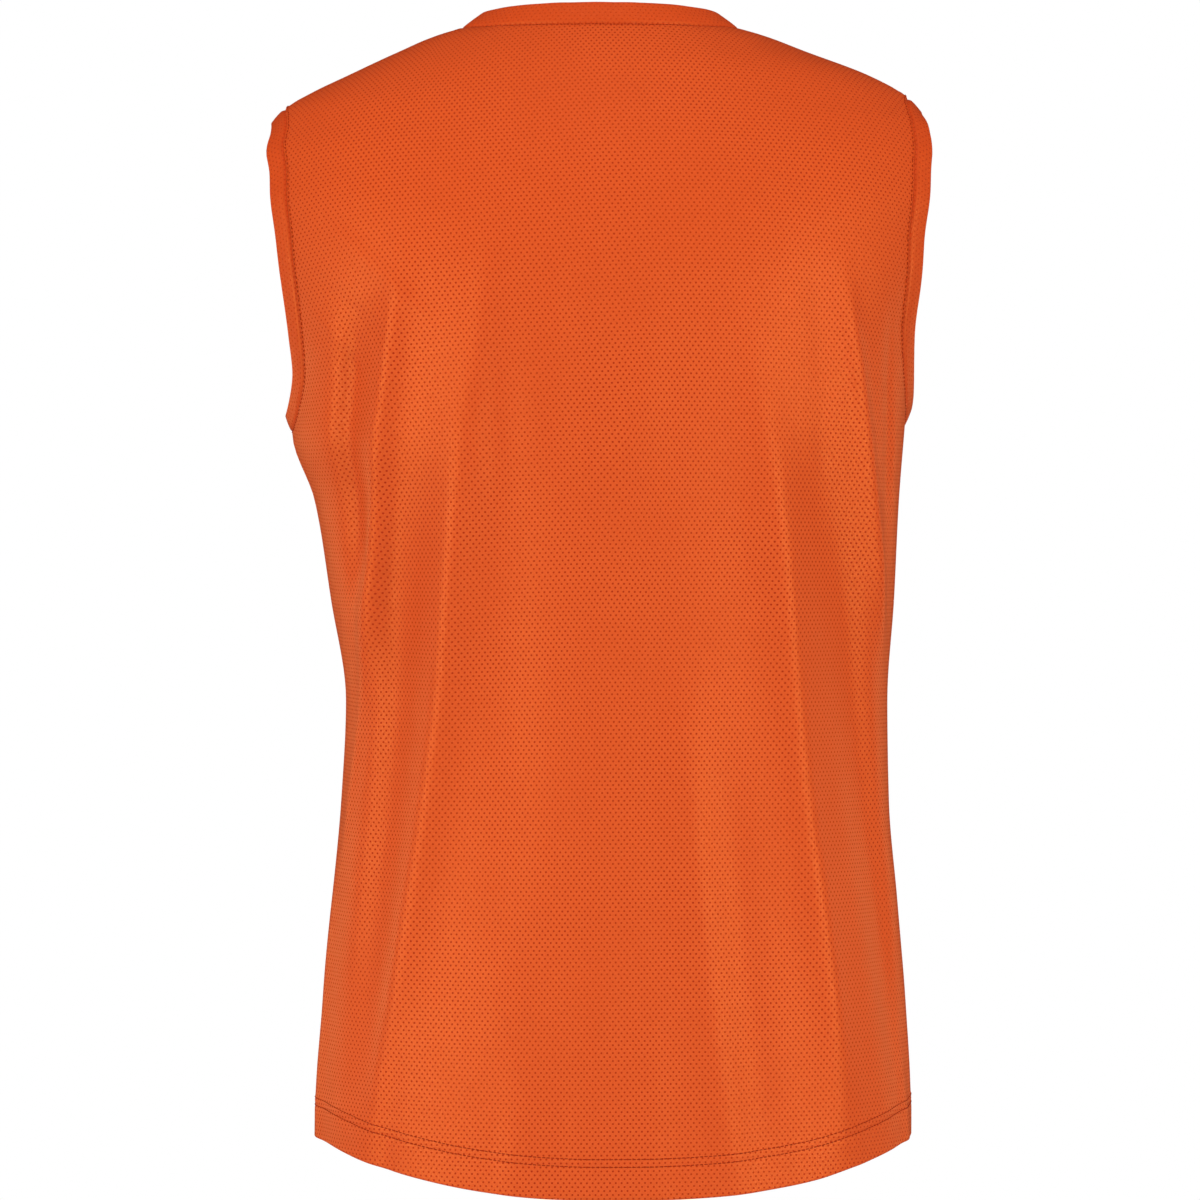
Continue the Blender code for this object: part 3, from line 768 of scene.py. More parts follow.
class Graph:
    """A node tree with short ways to add and join its nodes."""

    def __init__(self, tree: bpy.types.NodeTree) -> None:
        """Keeps the tree, and empties it."""
        self.tree = tree
        tree.nodes.clear()

    def add(self, kind: str, **settings: object) -> bpy.types.Node:
        """Adds a node and sets its properties."""
        node = self.tree.nodes.new(kind)
        for name, value in settings.items():
            setattr(node, name, value)
        return node

    def feed(self, node: bpy.types.Node, **inputs: object) -> bpy.types.Node:
        """Joins or sets inputs by name, with _ for a space, or by i and a number."""
        for name, value in inputs.items():
            numbered = name[0] == "i" and name[1:].isdigit()
            socket = node.inputs[int(name[1:]) if numbered else name.replace("_", " ")]
            if isinstance(value, bpy.types.NodeSocket):
                self.tree.links.new(value, socket)
            else:
                socket.default_value = value
        return node

    def sum(self, operation: str, *numbers: object) -> bpy.types.NodeSocket:
        """Joins numbers by a sum, and gives the result."""
        given = {f"i{place}": number for place, number in enumerate(numbers)}
        return self.feed(self.add("ShaderNodeMath", operation=operation), **given).outputs[0]

    def noise(self, place: bpy.types.NodeSocket, **settings: object) -> bpy.types.NodeOutputs:
        """Adds soft noise at places."""
        return self.feed(self.add("ShaderNodeTexNoise"), Vector=place, **settings).outputs

    def vector(self, operation: str, one: object, **inputs: object) -> bpy.types.NodeSocket:
        """Changes a vector by an operation and its other inputs, and gives the result."""
        node = self.add("ShaderNodeVectorMath", operation=operation)
        self.feed(node, i0=one, **inputs)
        return node.outputs["Value" if operation == "LENGTH" else "Vector"]

    def between(self, value: object, low: float, high: float) -> bpy.types.NodeSocket:
        """Maps a number smoothly, from 0 at low to 1 at high."""
        node = self.add("ShaderNodeMapRange", interpolation_type="SMOOTHSTEP")
        return self.feed(node, Value=value, From_Min=low, From_Max=high).outputs["Result"]

    def mixed(self, share: object, one: object, other: object) -> bpy.types.NodeSocket:
        """Mixes two colours by a share."""
        node = self.add("ShaderNodeMix", data_type="RGBA")
        return self.feed(node, i0=share, i6=one, i7=other).outputs[2]

    def shaded(
        self, colour: object, rough: object, height: object, depth: float, strength: float = 1.0
    ) -> bpy.types.Node:
        """Adds the shader of a finish, with a bump of a height, and joins it to the output."""
        bump = self.feed(self.add("ShaderNodeBump"), Height=height, Distance=depth)
        bump.inputs["Strength"].default_value = strength
        shader = self.add("ShaderNodeBsdfPrincipled")
        self.feed(shader, Base_Color=colour, Roughness=rough, Normal=bump.outputs["Normal"])
        self.feed(self.add("ShaderNodeOutputMaterial"), Surface=shader.outputs["BSDF"])
        return shader


def new_material(name: str) -> tuple[bpy.types.Material, Graph]:
    """Makes a material with an empty node tree."""
    material = bpy.data.materials.new(name)
    material.use_nodes = True
    return material, Graph(material.node_tree)


class Effect:
    """A shader node group with named inputs and outputs, built once."""

    def __init__(self, name: str, inputs: dict[str, object], outputs: tuple[str, ...]) -> None:
        """Makes the group with its sockets.

        Args:
            name: Name of the effect.
            inputs: Default of each input, where a tuple makes a vector.
            outputs: Names of the outputs, all numbers.
        """
        self.tree = bpy.data.node_groups.new(name, "ShaderNodeTree")
        for label, default in inputs.items():
            kind = "NodeSocketVector" if isinstance(default, tuple) else "NodeSocketFloat"
            socket = self.tree.interface.new_socket(label, in_out="INPUT", socket_type=kind)
            socket.default_value = default
        for label in outputs:
            self.tree.interface.new_socket(label, in_out="OUTPUT", socket_type="NodeSocketFloat")
        self.graph = Graph(self.tree)
        self.given = self.graph.add("NodeGroupInput").outputs
        self.result = self.graph.add("NodeGroupOutput")

    def placed_in(self, graph: Graph, **inputs: object) -> bpy.types.NodeOutputs:
        """Places the effect in a material, with its own values."""
        node = graph.add("ShaderNodeGroup", node_tree=self.tree)
        return graph.feed(node, **inputs).outputs


class Effects:
    """The effects that the finishes share."""

    wander_scale: float = 70.0
    eyelet_edge: tuple[float, float] = (1.15, 0.80)
    speckle_scale: float = 900.0
    blotch_edge: tuple[float, float] = (0.3, 0.7)

    def __init__(self) -> None:
        """Builds each effect once."""
        self.eyelets = self.make_eyelets()
        self.knit = self.make_knit()
        self.unevenness = self.make_unevenness()

    def make_eyelets(self) -> Effect:
        """Round holes on a staggered lattice.

        The lattice is two square ones, the second half a cell along and up. In each,
        the place within the cell, less the cell's middle, gives the distance to the
        nearest hole. The lesser distance, against the radius, gives the hole.
        """
        sizes = {"Place": (0.0, 0.0, 0.0), "Across": 0.0033, "Down": 0.0045, "Radius": 0.0005}
        effect = Effect("eyelets", {**sizes, "Wander": 0.0001}, ("Hole",))
        graph, given = effect.graph, effect.given
        noise = graph.noise(given["Place"], Scale=self.wander_scale)
        middle = (0.5, 0.5, 0.5)
        astray = graph.vector("SUBTRACT", noise["Color"], i1=middle)
        moved = graph.vector("SCALE", astray, Scale=given["Wander"])
        place = graph.vector("ADD", given["Place"], i1=moved)
        cell = graph.add("ShaderNodeCombineXYZ")
        cell = graph.feed(cell, X=given["Across"], Y=given["Down"], Z=1.0).outputs[0]
        flat_cell = graph.vector("MULTIPLY", cell, i1=(1, 1, 0))
        counted = graph.vector("DIVIDE", place, i1=cell)
        distances = []
        for shift in ((0.0, 0.0, 0.0), (0.5, 0.5, 0.0)):
            within = graph.vector("FRACTION", graph.vector("ADD", counted, i1=shift))
            off = graph.vector("SUBTRACT", within, i1=middle)
            distances.append(graph.vector("LENGTH", graph.vector("MULTIPLY", off, i1=flat_cell)))
        share = graph.sum("DIVIDE", graph.sum("MINIMUM", *distances), given["Radius"])
        graph.feed(effect.result, Hole=graph.between(share, *self.eyelet_edge))
        return effect

    def make_knit(self) -> Effect:
        """Fine loops: wales across and courses up, broken by noise."""
        effect = Effect("knit", {"Place": (0.0, 0.0, 0.0), "Loop": 0.0006}, ("Loops", "Speckle"))
        graph, given = effect.graph, effect.given
        turns = graph.sum("DIVIDE", 2 * np.pi, given["Loop"])
        apart = graph.feed(graph.add("ShaderNodeSeparateXYZ"), Vector=given["Place"]).outputs
        across = graph.sum("SINE", graph.sum("MULTIPLY", apart["X"], turns))
        up = graph.sum("SINE", graph.sum("MULTIPLY", apart["Y"], turns))
        speckle = graph.noise(given["Place"], Scale=self.speckle_scale, Detail=1.0)["Fac"]
        loops = graph.sum("MULTIPLY", graph.sum("MULTIPLY", across, up), speckle)
        graph.feed(effect.result, Loops=loops, Speckle=speckle)
        return effect

    def make_unevenness(self) -> Effect:
        """Broad, soft blotches between 0 and 1."""
        effect = Effect("unevenness", {"Place": (0.0, 0.0, 0.0), "Scale": 12.0}, ("Amount",))
        graph, given = effect.graph, effect.given
        noise = graph.noise(given["Place"], Scale=given["Scale"], Detail=2.0)
        graph.feed(effect.result, Amount=graph.between(noise["Fac"], *self.blotch_edge))
        return effect


@dataclass(frozen=True)
class ClothFinish:
    """Polyester mesh: a matt knit with rows of small eyelets, each painted dark with painted
    shade, the garment's shaded inside seen through it.
    """

    name: str
    colour: Colour
    deep_colour: Colour
    hole_painted_shade: Colour
    # The eyelets hold painted shade, the shaded inside seen through them: how strongly it shows,
    # and how much the blotches pale it
    hole_shade_share: float = 0.95
    hole_shade_fade: float = 0.25
    hole_matt: float = 0.45
    blotch: float = 0.25
    blotch_middle: float = 0.12
    loop_height: float = 0.25
    loop_matt: float = 0.12
    speckle: float = 1.5
    roughness: float = 0.34
    gloss: float = 0.95
    gloss_tint: Colour = (1.0, 0.62, 0.32, 1.0)
    eyelet_across: float = 0.00330
    eyelet_down: float = 0.00452
    eyelet_radius: float = 0.00057
    relief: float = 0.0004
    relief_strength: float = 0.5

    def material(self, effects: Effects) -> bpy.types.Material:
        """Makes the material on the flat cloth's places."""
        material, graph = new_material(self.name)
        place = graph.add("ShaderNodeUVMap", uv_map="cut").outputs["UV"]
        eyelets = effects.eyelets.placed_in(
            graph,
            Place=place,
            Across=self.eyelet_across,
            Down=self.eyelet_down,
            Radius=self.eyelet_radius,
        )
        knit = effects.knit.placed_in(graph, Place=place)
        blotches = effects.unevenness.placed_in(graph, Place=place)["Amount"]
        level = 0.5 - self.speckle / 2 - self.blotch_middle
        mottled = graph.sum("MULTIPLY_ADD", knit["Speckle"], self.speckle, level)
        mottled = graph.sum("MULTIPLY_ADD", blotches, self.blotch, mottled)
        cloth = graph.mixed(mottled, self.colour, self.deep_colour)
        painted_hole_shade = graph.sum("MULTIPLY_ADD", blotches, -self.hole_shade_fade, self.hole_shade_share)
        hole = eyelets["Hole"]
        # Painted shade in the eyelets: the garment's shaded inside seen through the holes, a
        # little paler under the blotches
        colour = graph.mixed(graph.sum("MULTIPLY", hole, painted_hole_shade), cloth, self.hole_painted_shade)
        loops = graph.sum("MULTIPLY", knit["Loops"], self.loop_height)
        height = graph.sum("SUBTRACT", loops, hole)
        rough = graph.sum("MULTIPLY_ADD", knit["Speckle"], self.loop_matt, self.roughness)
        rough = graph.sum("MULTIPLY_ADD", hole, self.hole_matt, rough)
        shader = graph.shaded(colour, rough, height, self.relief, self.relief_strength)
        shader.inputs["Specular IOR Level"].default_value = self.gloss
        shader.inputs["Specular Tint"].default_value = self.gloss_tint
        return material


@dataclass(frozen=True)
class ThreadFinish:
    """Twisted sewing thread."""

    name: str
    colour: Colour
    shade_colour: Colour
    roughness: float = 0.55
    gloss: float = 0.12
    twist: float = 0.0004
    relief: float = 0.0001

    def material(self, effects: Effects) -> bpy.types.Material:
        """Makes the material on object coordinates."""
        material, graph = new_material(self.name)
        place = graph.add("ShaderNodeTexCoord").outputs["Object"]
        knit = effects.knit.placed_in(graph, Place=place, Loop=self.twist)
        colour = graph.mixed(knit["Speckle"], self.colour, self.shade_colour)
        shader = graph.shaded(colour, self.roughness, knit["Loops"], self.relief)
        shader.inputs["Specular IOR Level"].default_value = self.gloss
        return material


def dress(piece: bpy.types.Object, material: bpy.types.Material) -> None:
    """Gives a piece its material, and lets it ride on the garment."""
    piece.data.materials.append(material)
    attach(piece, "root")


@dataclass
class Panel:
    """The back or the front: one layer of cloth with a turned-up hem."""

    facing: Facing
    cut: Cut
    folds: tuple[FoldSet, ...]
    wall: float = 0.0008
    doubled: float = 0.0020
    hem_turn: float = 0.0245
    hem_parts: int = 24
    cell_parts: int = 4
    fold_parts: int = 6
    settle_rounds: int = 5
    hem_relief: float = 0.0004
    hem_soft: float = 0.0015
    armhole_foot: float = -0.246
    armhole_soft: float = 0.006
    seam_dip: float = 0.0010
    seam_soft: float = 0.0013
    ridge: float = 0.0005
    ridge_at: float = 0.0021
    ridge_soft: float = 0.0008
    stitch_dip: float = 0.0003
    stitch_soft: float = 0.0014
    stitch_heights: tuple[float, float] = (0.0185, 0.0230)
    stitch_inset: float = 0.0031
    pucker: float = 0.00030
    pucker_at: float = 0.0055
    pucker_reach: float = 0.0035
    pucker_length: float = 0.0085
    hem_pucker: float = 0.00014
    hem_pucker_length: float = 0.017
    slack: float = 0.0005
    slack_round: float = 0.062
    slack_up: float = 0.145
    slack_radius: float = 0.15
    starts: tuple[float, ...] = (0.7, 2.2, 0.4, 1.1, 2.9)

    def __post_init__(self) -> None:
        """Works out the fine grid, its flat places and its distances from the edges."""
        self.name = f"{self.facing.value}_panel"
        cut = self.cut
        net = cut.net(self.facing)
        rows, columns = net.shape[0] - 1, net.shape[1] - 1
        neck = cut.shoulder_columns + 1
        row_breaks = (0, cut.rows_below, rows)
        column_breaks = (0, neck, columns - neck, columns)
        low = np.linspace(0, 1, self.hem_parts, endpoint=False)
        at_rows = np.concatenate([low, np.linspace(1, rows, (rows - 1) * self.cell_parts + 1)])
        at_columns = np.linspace(0, columns, columns * self.cell_parts + 1)
        self.neck_start = neck * self.cell_parts
        self.armpit = self.hem_parts + (cut.rows_below - 1) * self.cell_parts
        both = np.concatenate([net, laid_flat(net)], axis=-1)
        fine = smooth_between(both, row_breaks, at_rows)
        fine = smooth_between(fine.swapaxes(0, 1), column_breaks, at_columns).swapaxes(0, 1)
        self.flat = fine[..., 3:]
        form = cut.form.settle(fine[..., :3], rounds=self.settle_rounds)
        self.outward = cut.form.outward(form)
        self.points = form + self.relief(form)[..., None] * self.outward

    def relief(self, form: Array) -> Array:
        """Height of the cloth over the form: folds, slack, hem, seams and puckers.

        A seam's edge rolls down to the seam, each row of stitches sinks the cloth along
        it, a thin ridge lies between the two, and puckers swell a little way inside.
        """
        x, y, z = np.moveaxis(form, -1, 0)
        slack_start, up_start, hem_start, side_start, neck_start = self.starts
        up, across = walk(form), walk(form, axis=1)
        self.from_hem, from_top = up, up[-1] - up
        from_side = np.minimum(across, across[:, -1:] - across)
        round_way = np.radians(self.cut.form.bearing(form)) * self.slack_radius
        lift = sum(folds.lift(form) for folds in self.folds)
        slack = ripple(round_way, self.slack_round, slack_start)
        lift += self.slack * slack * ripple(z, self.slack_up, up_start)
        lift += self.hem_relief * ramp((self.hem_turn - up) / self.hem_soft + 0.5)
        lift -= self.seam_dip * dab(np.minimum(from_side, from_top), self.seam_soft)
        for height in self.stitch_heights:
            lift -= self.stitch_dip * dab(up - height, self.stitch_soft)
        in_hem = dab(up - self.hem_turn / 2, self.hem_turn / 2)
        lift += self.hem_pucker * ripple(x, self.hem_pucker_length, hem_start) * in_hem
        beside = ramp((z - self.armhole_foot) / self.armhole_soft)
        lift += self.ridge * dab(from_side - self.ridge_at, self.ridge_soft) * beside
        lift -= self.stitch_dip * dab(from_side - self.stitch_inset, self.ridge_soft) * beside
        inset = dab(from_side - self.pucker_at, self.pucker_reach) * beside
        lift += self.pucker * ripple(z, self.pucker_length, side_start) * inset
        under_neck = dab(from_top - self.pucker_at, self.pucker_reach)
        return lift + self.pucker * ripple(x + y, self.pucker_length, neck_start) * under_neck

    def with_hem(self) -> tuple[Array, Array, Array]:
        """Adds the turned-up hem, a half circle round the edge and a layer inside.

        Returns:
            Points, flat places and outward directions, from the turn's inner edge.
        """
        radius = self.doubled / 2
        turn = int(np.sum(np.median(self.from_hem, axis=1) <= self.hem_turn))
        face, outward = self.points[:turn][::-1], self.outward[:turn][::-1]
        inner = face - self.doubled * outward
        angle = np.linspace(np.pi, 0, self.fold_parts + 2)[1:-1, None, None]
        edge, edge_out = self.points[0], self.outward[0]
        down = unit(self.points[0] - self.points[1])
        centre = edge - radius * edge_out
        arc = centre + radius * (np.cos(angle) * edge_out + np.sin(angle) * down)
        start, upwards = self.flat[:1], np.array([0.0, 1.0])
        folded = self.flat[:turn][::-1] * (1, -1) + (2 * start - np.pi * radius) * upwards
        bend = start - angle * radius * upwards
        points = np.concatenate([inner, arc, self.points])
        flat = np.concatenate([folded, bend, self.flat])
        facing = np.concatenate([-outward, unit(arc - centre), self.outward])
        return points, flat, facing

    def edge(self, side: Side) -> Array:
        """The panel's own armhole edge, from its foot to the shoulder."""
        return self.points[self.armpit :, -1 if side is Side.LEFT else 0]

    def neck_edge(self) -> Array:
        """The panel's own neck edge, from the right to the left."""
        return self.points[-1, self.neck_start : -self.neck_start]

    def hem_line(self, height: float) -> Line:
        """A line on the cloth at a height over the hem, and the directions out of it."""
        return line_at(self.points, self.outward, height)

    def build(self, material: bpy.types.Material) -> bpy.types.Object:
        """Makes the cloth."""
        points, flat, facing = self.with_hem()
        piece = grid_object(f"{self.name}_cloth", points, flat, False, facing[:-1, :-1])
        give_wall(piece, self.wall)
        dress(piece, material)
        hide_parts(self.name)
        self.size = tuple(float(v) for v in np.ptp(flat.reshape(-1, 2), axis=0))
        self.area = flat_area(flat)
        return piece


def line_at(points: Array, outward: Array, distance: float) -> Line:
    """Finds a line on a grid at a distance walked from its first row.

    Args:
        points: Rows of points, where each column is walked.
        outward: Directions out of the cloth at the points.
        distance: How far to walk.

    Returns:
        A point and a direction for each column.
    """
    walked = walk(points)
    far = np.clip((walked < distance).sum(axis=0), 1, len(walked) - 1)
    column_index = np.arange(points.shape[1])
    near_walk, far_walk = walked[far - 1, column_index], walked[far, column_index]
    share = ((distance - near_walk) / (far_walk - near_walk))[:, None]
    place = points[far - 1, column_index] * (1 - share) + points[far, column_index] * share
    return place, outward[far, column_index]


@dataclass
class Band:
    """A doubled strip that carries the cloth on past a closed seam into an opening."""

    name: str
    seam: Array
    outward: Array
    leaning: Array
    width: float
    curl: float = 0.0008
    doubled: float = 0.0020
    wall: float = 0.0008
    tuck: float = 0.0009
    tuck_depth: float = 0.0012
    tuck_soft: float = 0.0006
    crowding: float = 1.3
    rise: float = 0.0008
    rise_soft: float = 0.0022
    swell: float = 0.00030
    face_parts: int = 12
    fold_parts: int = 7

    def profile(self) -> tuple[Array, Array]:
        """The folded strip's section: across the band, and up out of the cloth.

        The face starts tucked under the panel's edge, rises in a soft round past the
        panel's edge, swells a little and runs to a half circle at the free edge. The
        inner layer runs straight back.
        """
        radius = self.doubled / 2
        share = np.linspace(0, 1, self.face_parts)
        across = -self.tuck + (self.width - radius + self.tuck) * share**self.crowding
        sunk = np.exp(-(across + self.tuck) / self.tuck_soft)
        up = self.rise * ramp(across / self.rise_soft) + self.swell * np.sin(np.pi * share)
        up = up - self.tuck_depth * sunk
        angle = np.linspace(np.pi / 2, -np.pi / 2, self.fold_parts)[1:]
        bend_across = self.width - radius + radius * np.cos(angle)
        bend_up = self.rise + radius * np.sin(angle) - radius
        back_across = np.linspace(self.width - radius, -self.tuck, self.face_parts)[1:]
        back_up = np.full(len(back_across), self.rise - self.doubled)
        return (
            np.concatenate([across, bend_across, back_across]),
            np.concatenate([up, bend_up, back_up]),
        )

    def rows(self) -> tuple[Array, Array]:
        """Rows of the strip, and the directions that its faces look in."""
        along = round_mean(np.roll(self.seam, -1, axis=0) - np.roll(self.seam, 1, axis=0))
        leaning = round_mean(self.leaning)
        leaning = unit(leaning - np.sum(leaning * along, axis=-1, keepdims=True) * along)
        up = unit(np.cross(along, leaning))
        up = np.where(np.sum(up * self.outward, axis=-1, keepdims=True) < 0, -up, up)
        across, height = self.profile()
        curl = (np.clip(across / self.width, 0, 1) ** 2 * self.curl)[:, None, None]
        points = self.seam + across[:, None, None] * leaning + height[:, None, None] * up
        points = points - curl * self.outward
        turned = np.gradient(np.stack([across, height], axis=-1), axis=0)
        faces = -turned[:, 1:, None] * leaning + turned[:, :1, None] * up
        return points, faces

    def build(self, material: bpy.types.Material) -> bpy.types.Object:
        """Makes the strip."""
        points, faces = self.rows()
        length = float(np.linalg.norm(self.seam - np.roll(self.seam, 1, axis=0), axis=1).sum())
        along = np.append(walk(self.seam), length)
        across = walk(points[:, :1])[:, 0]
        places = np.stack(np.broadcast_arrays(along[None], across[:, None]), axis=-1)
        piece = grid_object(f"{self.name}_cloth", points, places, True, faces[:-1])
        give_wall(piece, self.wall)
        dress(piece, material)
        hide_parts(self.name)
        self.size = (length, float(across[-1]))
        return piece


@dataclass(frozen=True)
class StitchRow:
    """A row of stitches, each a short thread that rises from the cloth and dips back."""

    pitch: float = 0.0026
    length: float = 0.0025
    radius: float = 0.00028
    rise: float = 0.00016
    sink: float = 0.00024
    slant: float = 0.0
    taper: float = 0.8
    look: float = 0.001
    along_parts: int = 5
    around_parts: int = 6

    def points(self, path: Array, outward: Array) -> Array:
        """Places the stitches.

        Args:
            path: Points of the seam line.
            outward: Directions out of the cloth along it.

        Returns:
            Points by stitch, along the stitch and around it.
        """
        walked = walk(path)
        count = int(walked[-1] / self.pitch)
        at = (np.arange(count) + 0.5) * walked[-1] / count
        centre, up = read_path(at, walked, path), unit(read_path(at, walked, outward))
        ahead, behind = (read_path(at + step, walked, path) for step in (self.look, -self.look))
        along = unit(ahead - behind)
        aside = unit(np.cross(up, along))
        turn = np.radians(self.slant) * (-1) ** np.arange(count)[:, None]
        lie = np.cos(turn) * along + np.sin(turn) * aside
        aside = unit(np.cross(up, lie))
        t = np.linspace(-1, 1, self.along_parts)[None, :, None, None]
        around = np.linspace(0, 2 * np.pi, self.around_parts, endpoint=False)[None, None, :, None]
        thick = self.radius * np.sqrt(1 - self.taper * t**4)
        arch = self.rise * (1 - t**2) - self.sink * t**2
        lie, aside, up, centre = (v[:, None, None] for v in (lie, aside, up, centre))
        ring = np.cos(around) * aside + np.sin(around) * up
        return centre + t * self.length / 2 * lie + thick * ring + arch * up

    def build(
        self, name: str, lines: list[Line], material: bpy.types.Material
    ) -> bpy.types.Object:
        """Makes the stitches of one or more lines as one piece.

        Args:
            name: Name of the piece.
            lines: A path and its outward directions for each line.
            material: The thread.

        Returns:
            The stitches.
        """
        points = np.concatenate([self.points(*line) for line in lines])
        count, along, around = points.shape[:3]
        index = np.arange(count * along * around).reshape(count, along, around)
        onward = np.roll(index, -1, axis=2)
        tubes = np.stack([index[:, :-1], onward[:, :-1], onward[:, 1:], index[:, 1:]], axis=-1)
        caps = np.concatenate([index[:, 0, ::-1], index[:, -1]])
        mesh = bpy.data.meshes.new(name)
        faces = tubes.reshape(-1, 4)[:, ::-1].tolist() + caps[:, ::-1].tolist()
        mesh.from_pydata(points.reshape(-1, 3).tolist(), [], faces)
        mesh.shade_smooth()
        piece = linked(mesh)
        dress(piece, material)
        return piece


class Light(Enum):
    """What a lamp does: a white one lights the cloth, and an orange one gives it sheen."""

    BODY = (1.0, 1.0, 1.0)
    SHEEN = (1.0, 0.62, 0.27)


class Lamp(NamedTuple):
    """A square lamp: its place, its side, its power in watts and what it does."""

    name: str
    place: tuple[float, float, float]
    size: float
    power: float
    light: Light


@dataclass(frozen=True)
class Studio:
    """A plain pale floor far below, soft light and the camera."""

    floor_height: float = -1.45
    floor_radius: float = 1.5
    floor_sides: int = 96
    floor_colour: Colour = (0.86, 0.86, 0.86, 1.0)
    floor_roughness: float = 0.9
    camera_place: tuple[float, float, float] = (0.0, 2.8, -0.344)
    lens: float = 140.0
    sensor: float = 36.0
    lamps: tuple[Lamp, ...] = (
        Lamp("key_left", (2.25, 2.05, -0.35), 0.9, 28.0, Light.BODY),
        Lamp("key_right", (-2.25, 2.05, -0.35), 0.9, 27.0, Light.BODY),
        Lamp("key", (0.0, 3.1, -0.55), 1.0, 6.0, Light.BODY),
        Lamp("side_left", (3.0, 0.5, -0.60), 1.6, 18.0, Light.BODY),
        Lamp("side_right", (-3.0, 0.5, -0.60), 1.6, 14.0, Light.BODY),
        Lamp("top", (0.0, 1.6, 2.4), 1.6, 44.0, Light.BODY),
        Lamp("front", (0.0, -3.0, -0.2), 1.6, 78.0, Light.BODY),
        Lamp("sheen_left", (2.25, 2.05, -0.35), 0.9, 38.0, Light.SHEEN),
        Lamp("sheen_right", (-2.25, 2.05, -0.35), 0.9, 37.0, Light.SHEEN),
        Lamp("rim_left", (2.4, -1.8, -0.50), 1.2, 9.0, Light.SHEEN),
        Lamp("rim_right", (-2.4, -1.8, -0.50), 1.2, 7.0, Light.SHEEN),
    )
    ambient: float = 0.35
    mirrored: float = 0.01

    def floor(self) -> bpy.types.Object:
        """Makes the floor, a round disc."""
        turn = np.linspace(0, 2 * np.pi, self.floor_sides, endpoint=False)
        ring = np.stack([np.cos(turn), np.sin(turn), 0 * turn], axis=-1) * self.floor_radius
        ring[:, 2] = self.floor_height
        mesh = bpy.data.meshes.new("studio_floor")
        mesh.from_pydata(ring.tolist(), [], [list(range(len(ring)))])
        piece = linked(mesh)
        piece.visible_glossy = False
        material = bpy.data.materials.new("pale_floor")
        material.use_nodes = True
        shader = material.node_tree.nodes["Principled BSDF"]
        shader.inputs["Base Color"].default_value = self.floor_colour
        shader.inputs["Roughness"].default_value = self.floor_roughness
        mesh.materials.append(material)
        return piece

    def light(self, lamp: Lamp) -> None:
        """Adds a large soft lamp that looks at the garment's middle."""
        data = bpy.data.lights.new(lamp.name, "AREA")
        data.energy, data.size, data.color = lamp.power, lamp.size, lamp.light.value
        placed = linked(data)
        placed.location = lamp.place
        placed.visible_glossy = lamp.light is Light.SHEEN
        placed.visible_diffuse = lamp.light is Light.BODY
        aim = Vector((0, 0, self.camera_place[2])) - Vector(lamp.place)
        placed.rotation_euler = aim.to_track_quat("-Z", "Y").to_euler()

    def surroundings(self) -> None:
        """Gives the world a white backdrop that lights the garment evenly from all round.

        Rays from the camera see it at 1, rays off a sheen at the mirrored strength and
        all others at the ambient strength.
        """
        world = bpy.data.worlds.new("studio")
        world.use_nodes = True
        graph = Graph(world.node_tree)
        rays = graph.add("ShaderNodeLightPath").outputs
        gloss = self.mirrored - self.ambient
        strength = graph.sum("MULTIPLY_ADD", rays["Is Glossy Ray"], gloss, self.ambient)
        strength = graph.sum("MULTIPLY_ADD", rays["Is Camera Ray"], 1.0 - self.ambient, strength)
        backdrop = graph.feed(graph.add("ShaderNodeBackground"), Strength=strength)
        backdrop.inputs["Color"].default_value = (1.0, 1.0, 1.0, 1.0)
        graph.feed(graph.add("ShaderNodeOutputWorld"), Surface=backdrop.outputs[0])
        bpy.context.scene.world = world

    def camera(self) -> None:
        """Places the camera level behind the garment."""
        data = bpy.data.cameras.new("camera")
        data.lens, data.sensor_width = self.lens, self.sensor
        camera = linked(data)
        camera.location = self.camera_place
        camera.rotation_euler = (np.pi / 2, 0, np.pi)
        bpy.context.scene.camera = camera

    def build(self) -> None:
        """Sets up the whole studio."""
        self.floor()
        for lamp in self.lamps:
            self.light(lamp)
        self.surroundings()
        self.camera()
        bpy.context.scene.view_settings.view_transform = "Standard"


# The third colour of each cloth is painted shade: the garment's shaded inside seen through its
# eyelets
MESH_CLOTH = ClothFinish(
    "mesh_cloth",
    (0.745, 0.093, 0.014, 1.0),
    (0.665, 0.068, 0.008, 1.0),
    (0.400, 0.003, 0.0002, 1.0),
)
BAND_CLOTH = ClothFinish(
    "band_cloth",
    (0.700, 0.073, 0.009, 1.0),
    (0.610, 0.056, 0.006, 1.0),
    (0.430, 0.014, 0.002, 1.0),
    hole_shade_share=0.6,
)
# The thread is the cloth's own orange, painted much darker: painted shade of its sunk stitch rows
THREAD_WITH_PAINTED_SHADE = ThreadFinish("thread", (0.42, 0.026, 0.002, 1.0), (0.26, 0.012, 0.001, 1.0))
HEM_STITCH = StitchRow()
ARMHOLE_STITCH = StitchRow(pitch=0.0027, length=0.0019)
ZIGZAG_STITCH = StitchRow(pitch=0.0021, length=0.0020, slant=34.0)
ARMHOLE_BAND_WIDTH = 0.012
NECK_BAND_WIDTH = 0.0158
NECK_STITCH_INSET = 0.0012


def joined(first: Array, second: Array) -> Array:
    """A closed line from two panels' edges, the second from where the first ends."""
    return np.concatenate([first, second[1:-1]])


def inward_from(seam: Array, outward: Array, towards: Array) -> Array:
    """Directions that carry the cloth on past a closed seam, into its opening."""
    along = np.roll(seam, -1, axis=0) - np.roll(seam, 1, axis=0)
    inward = unit(np.cross(unit(along), outward))
    return inward if np.sum(inward * (towards - seam)) > 0 else -inward


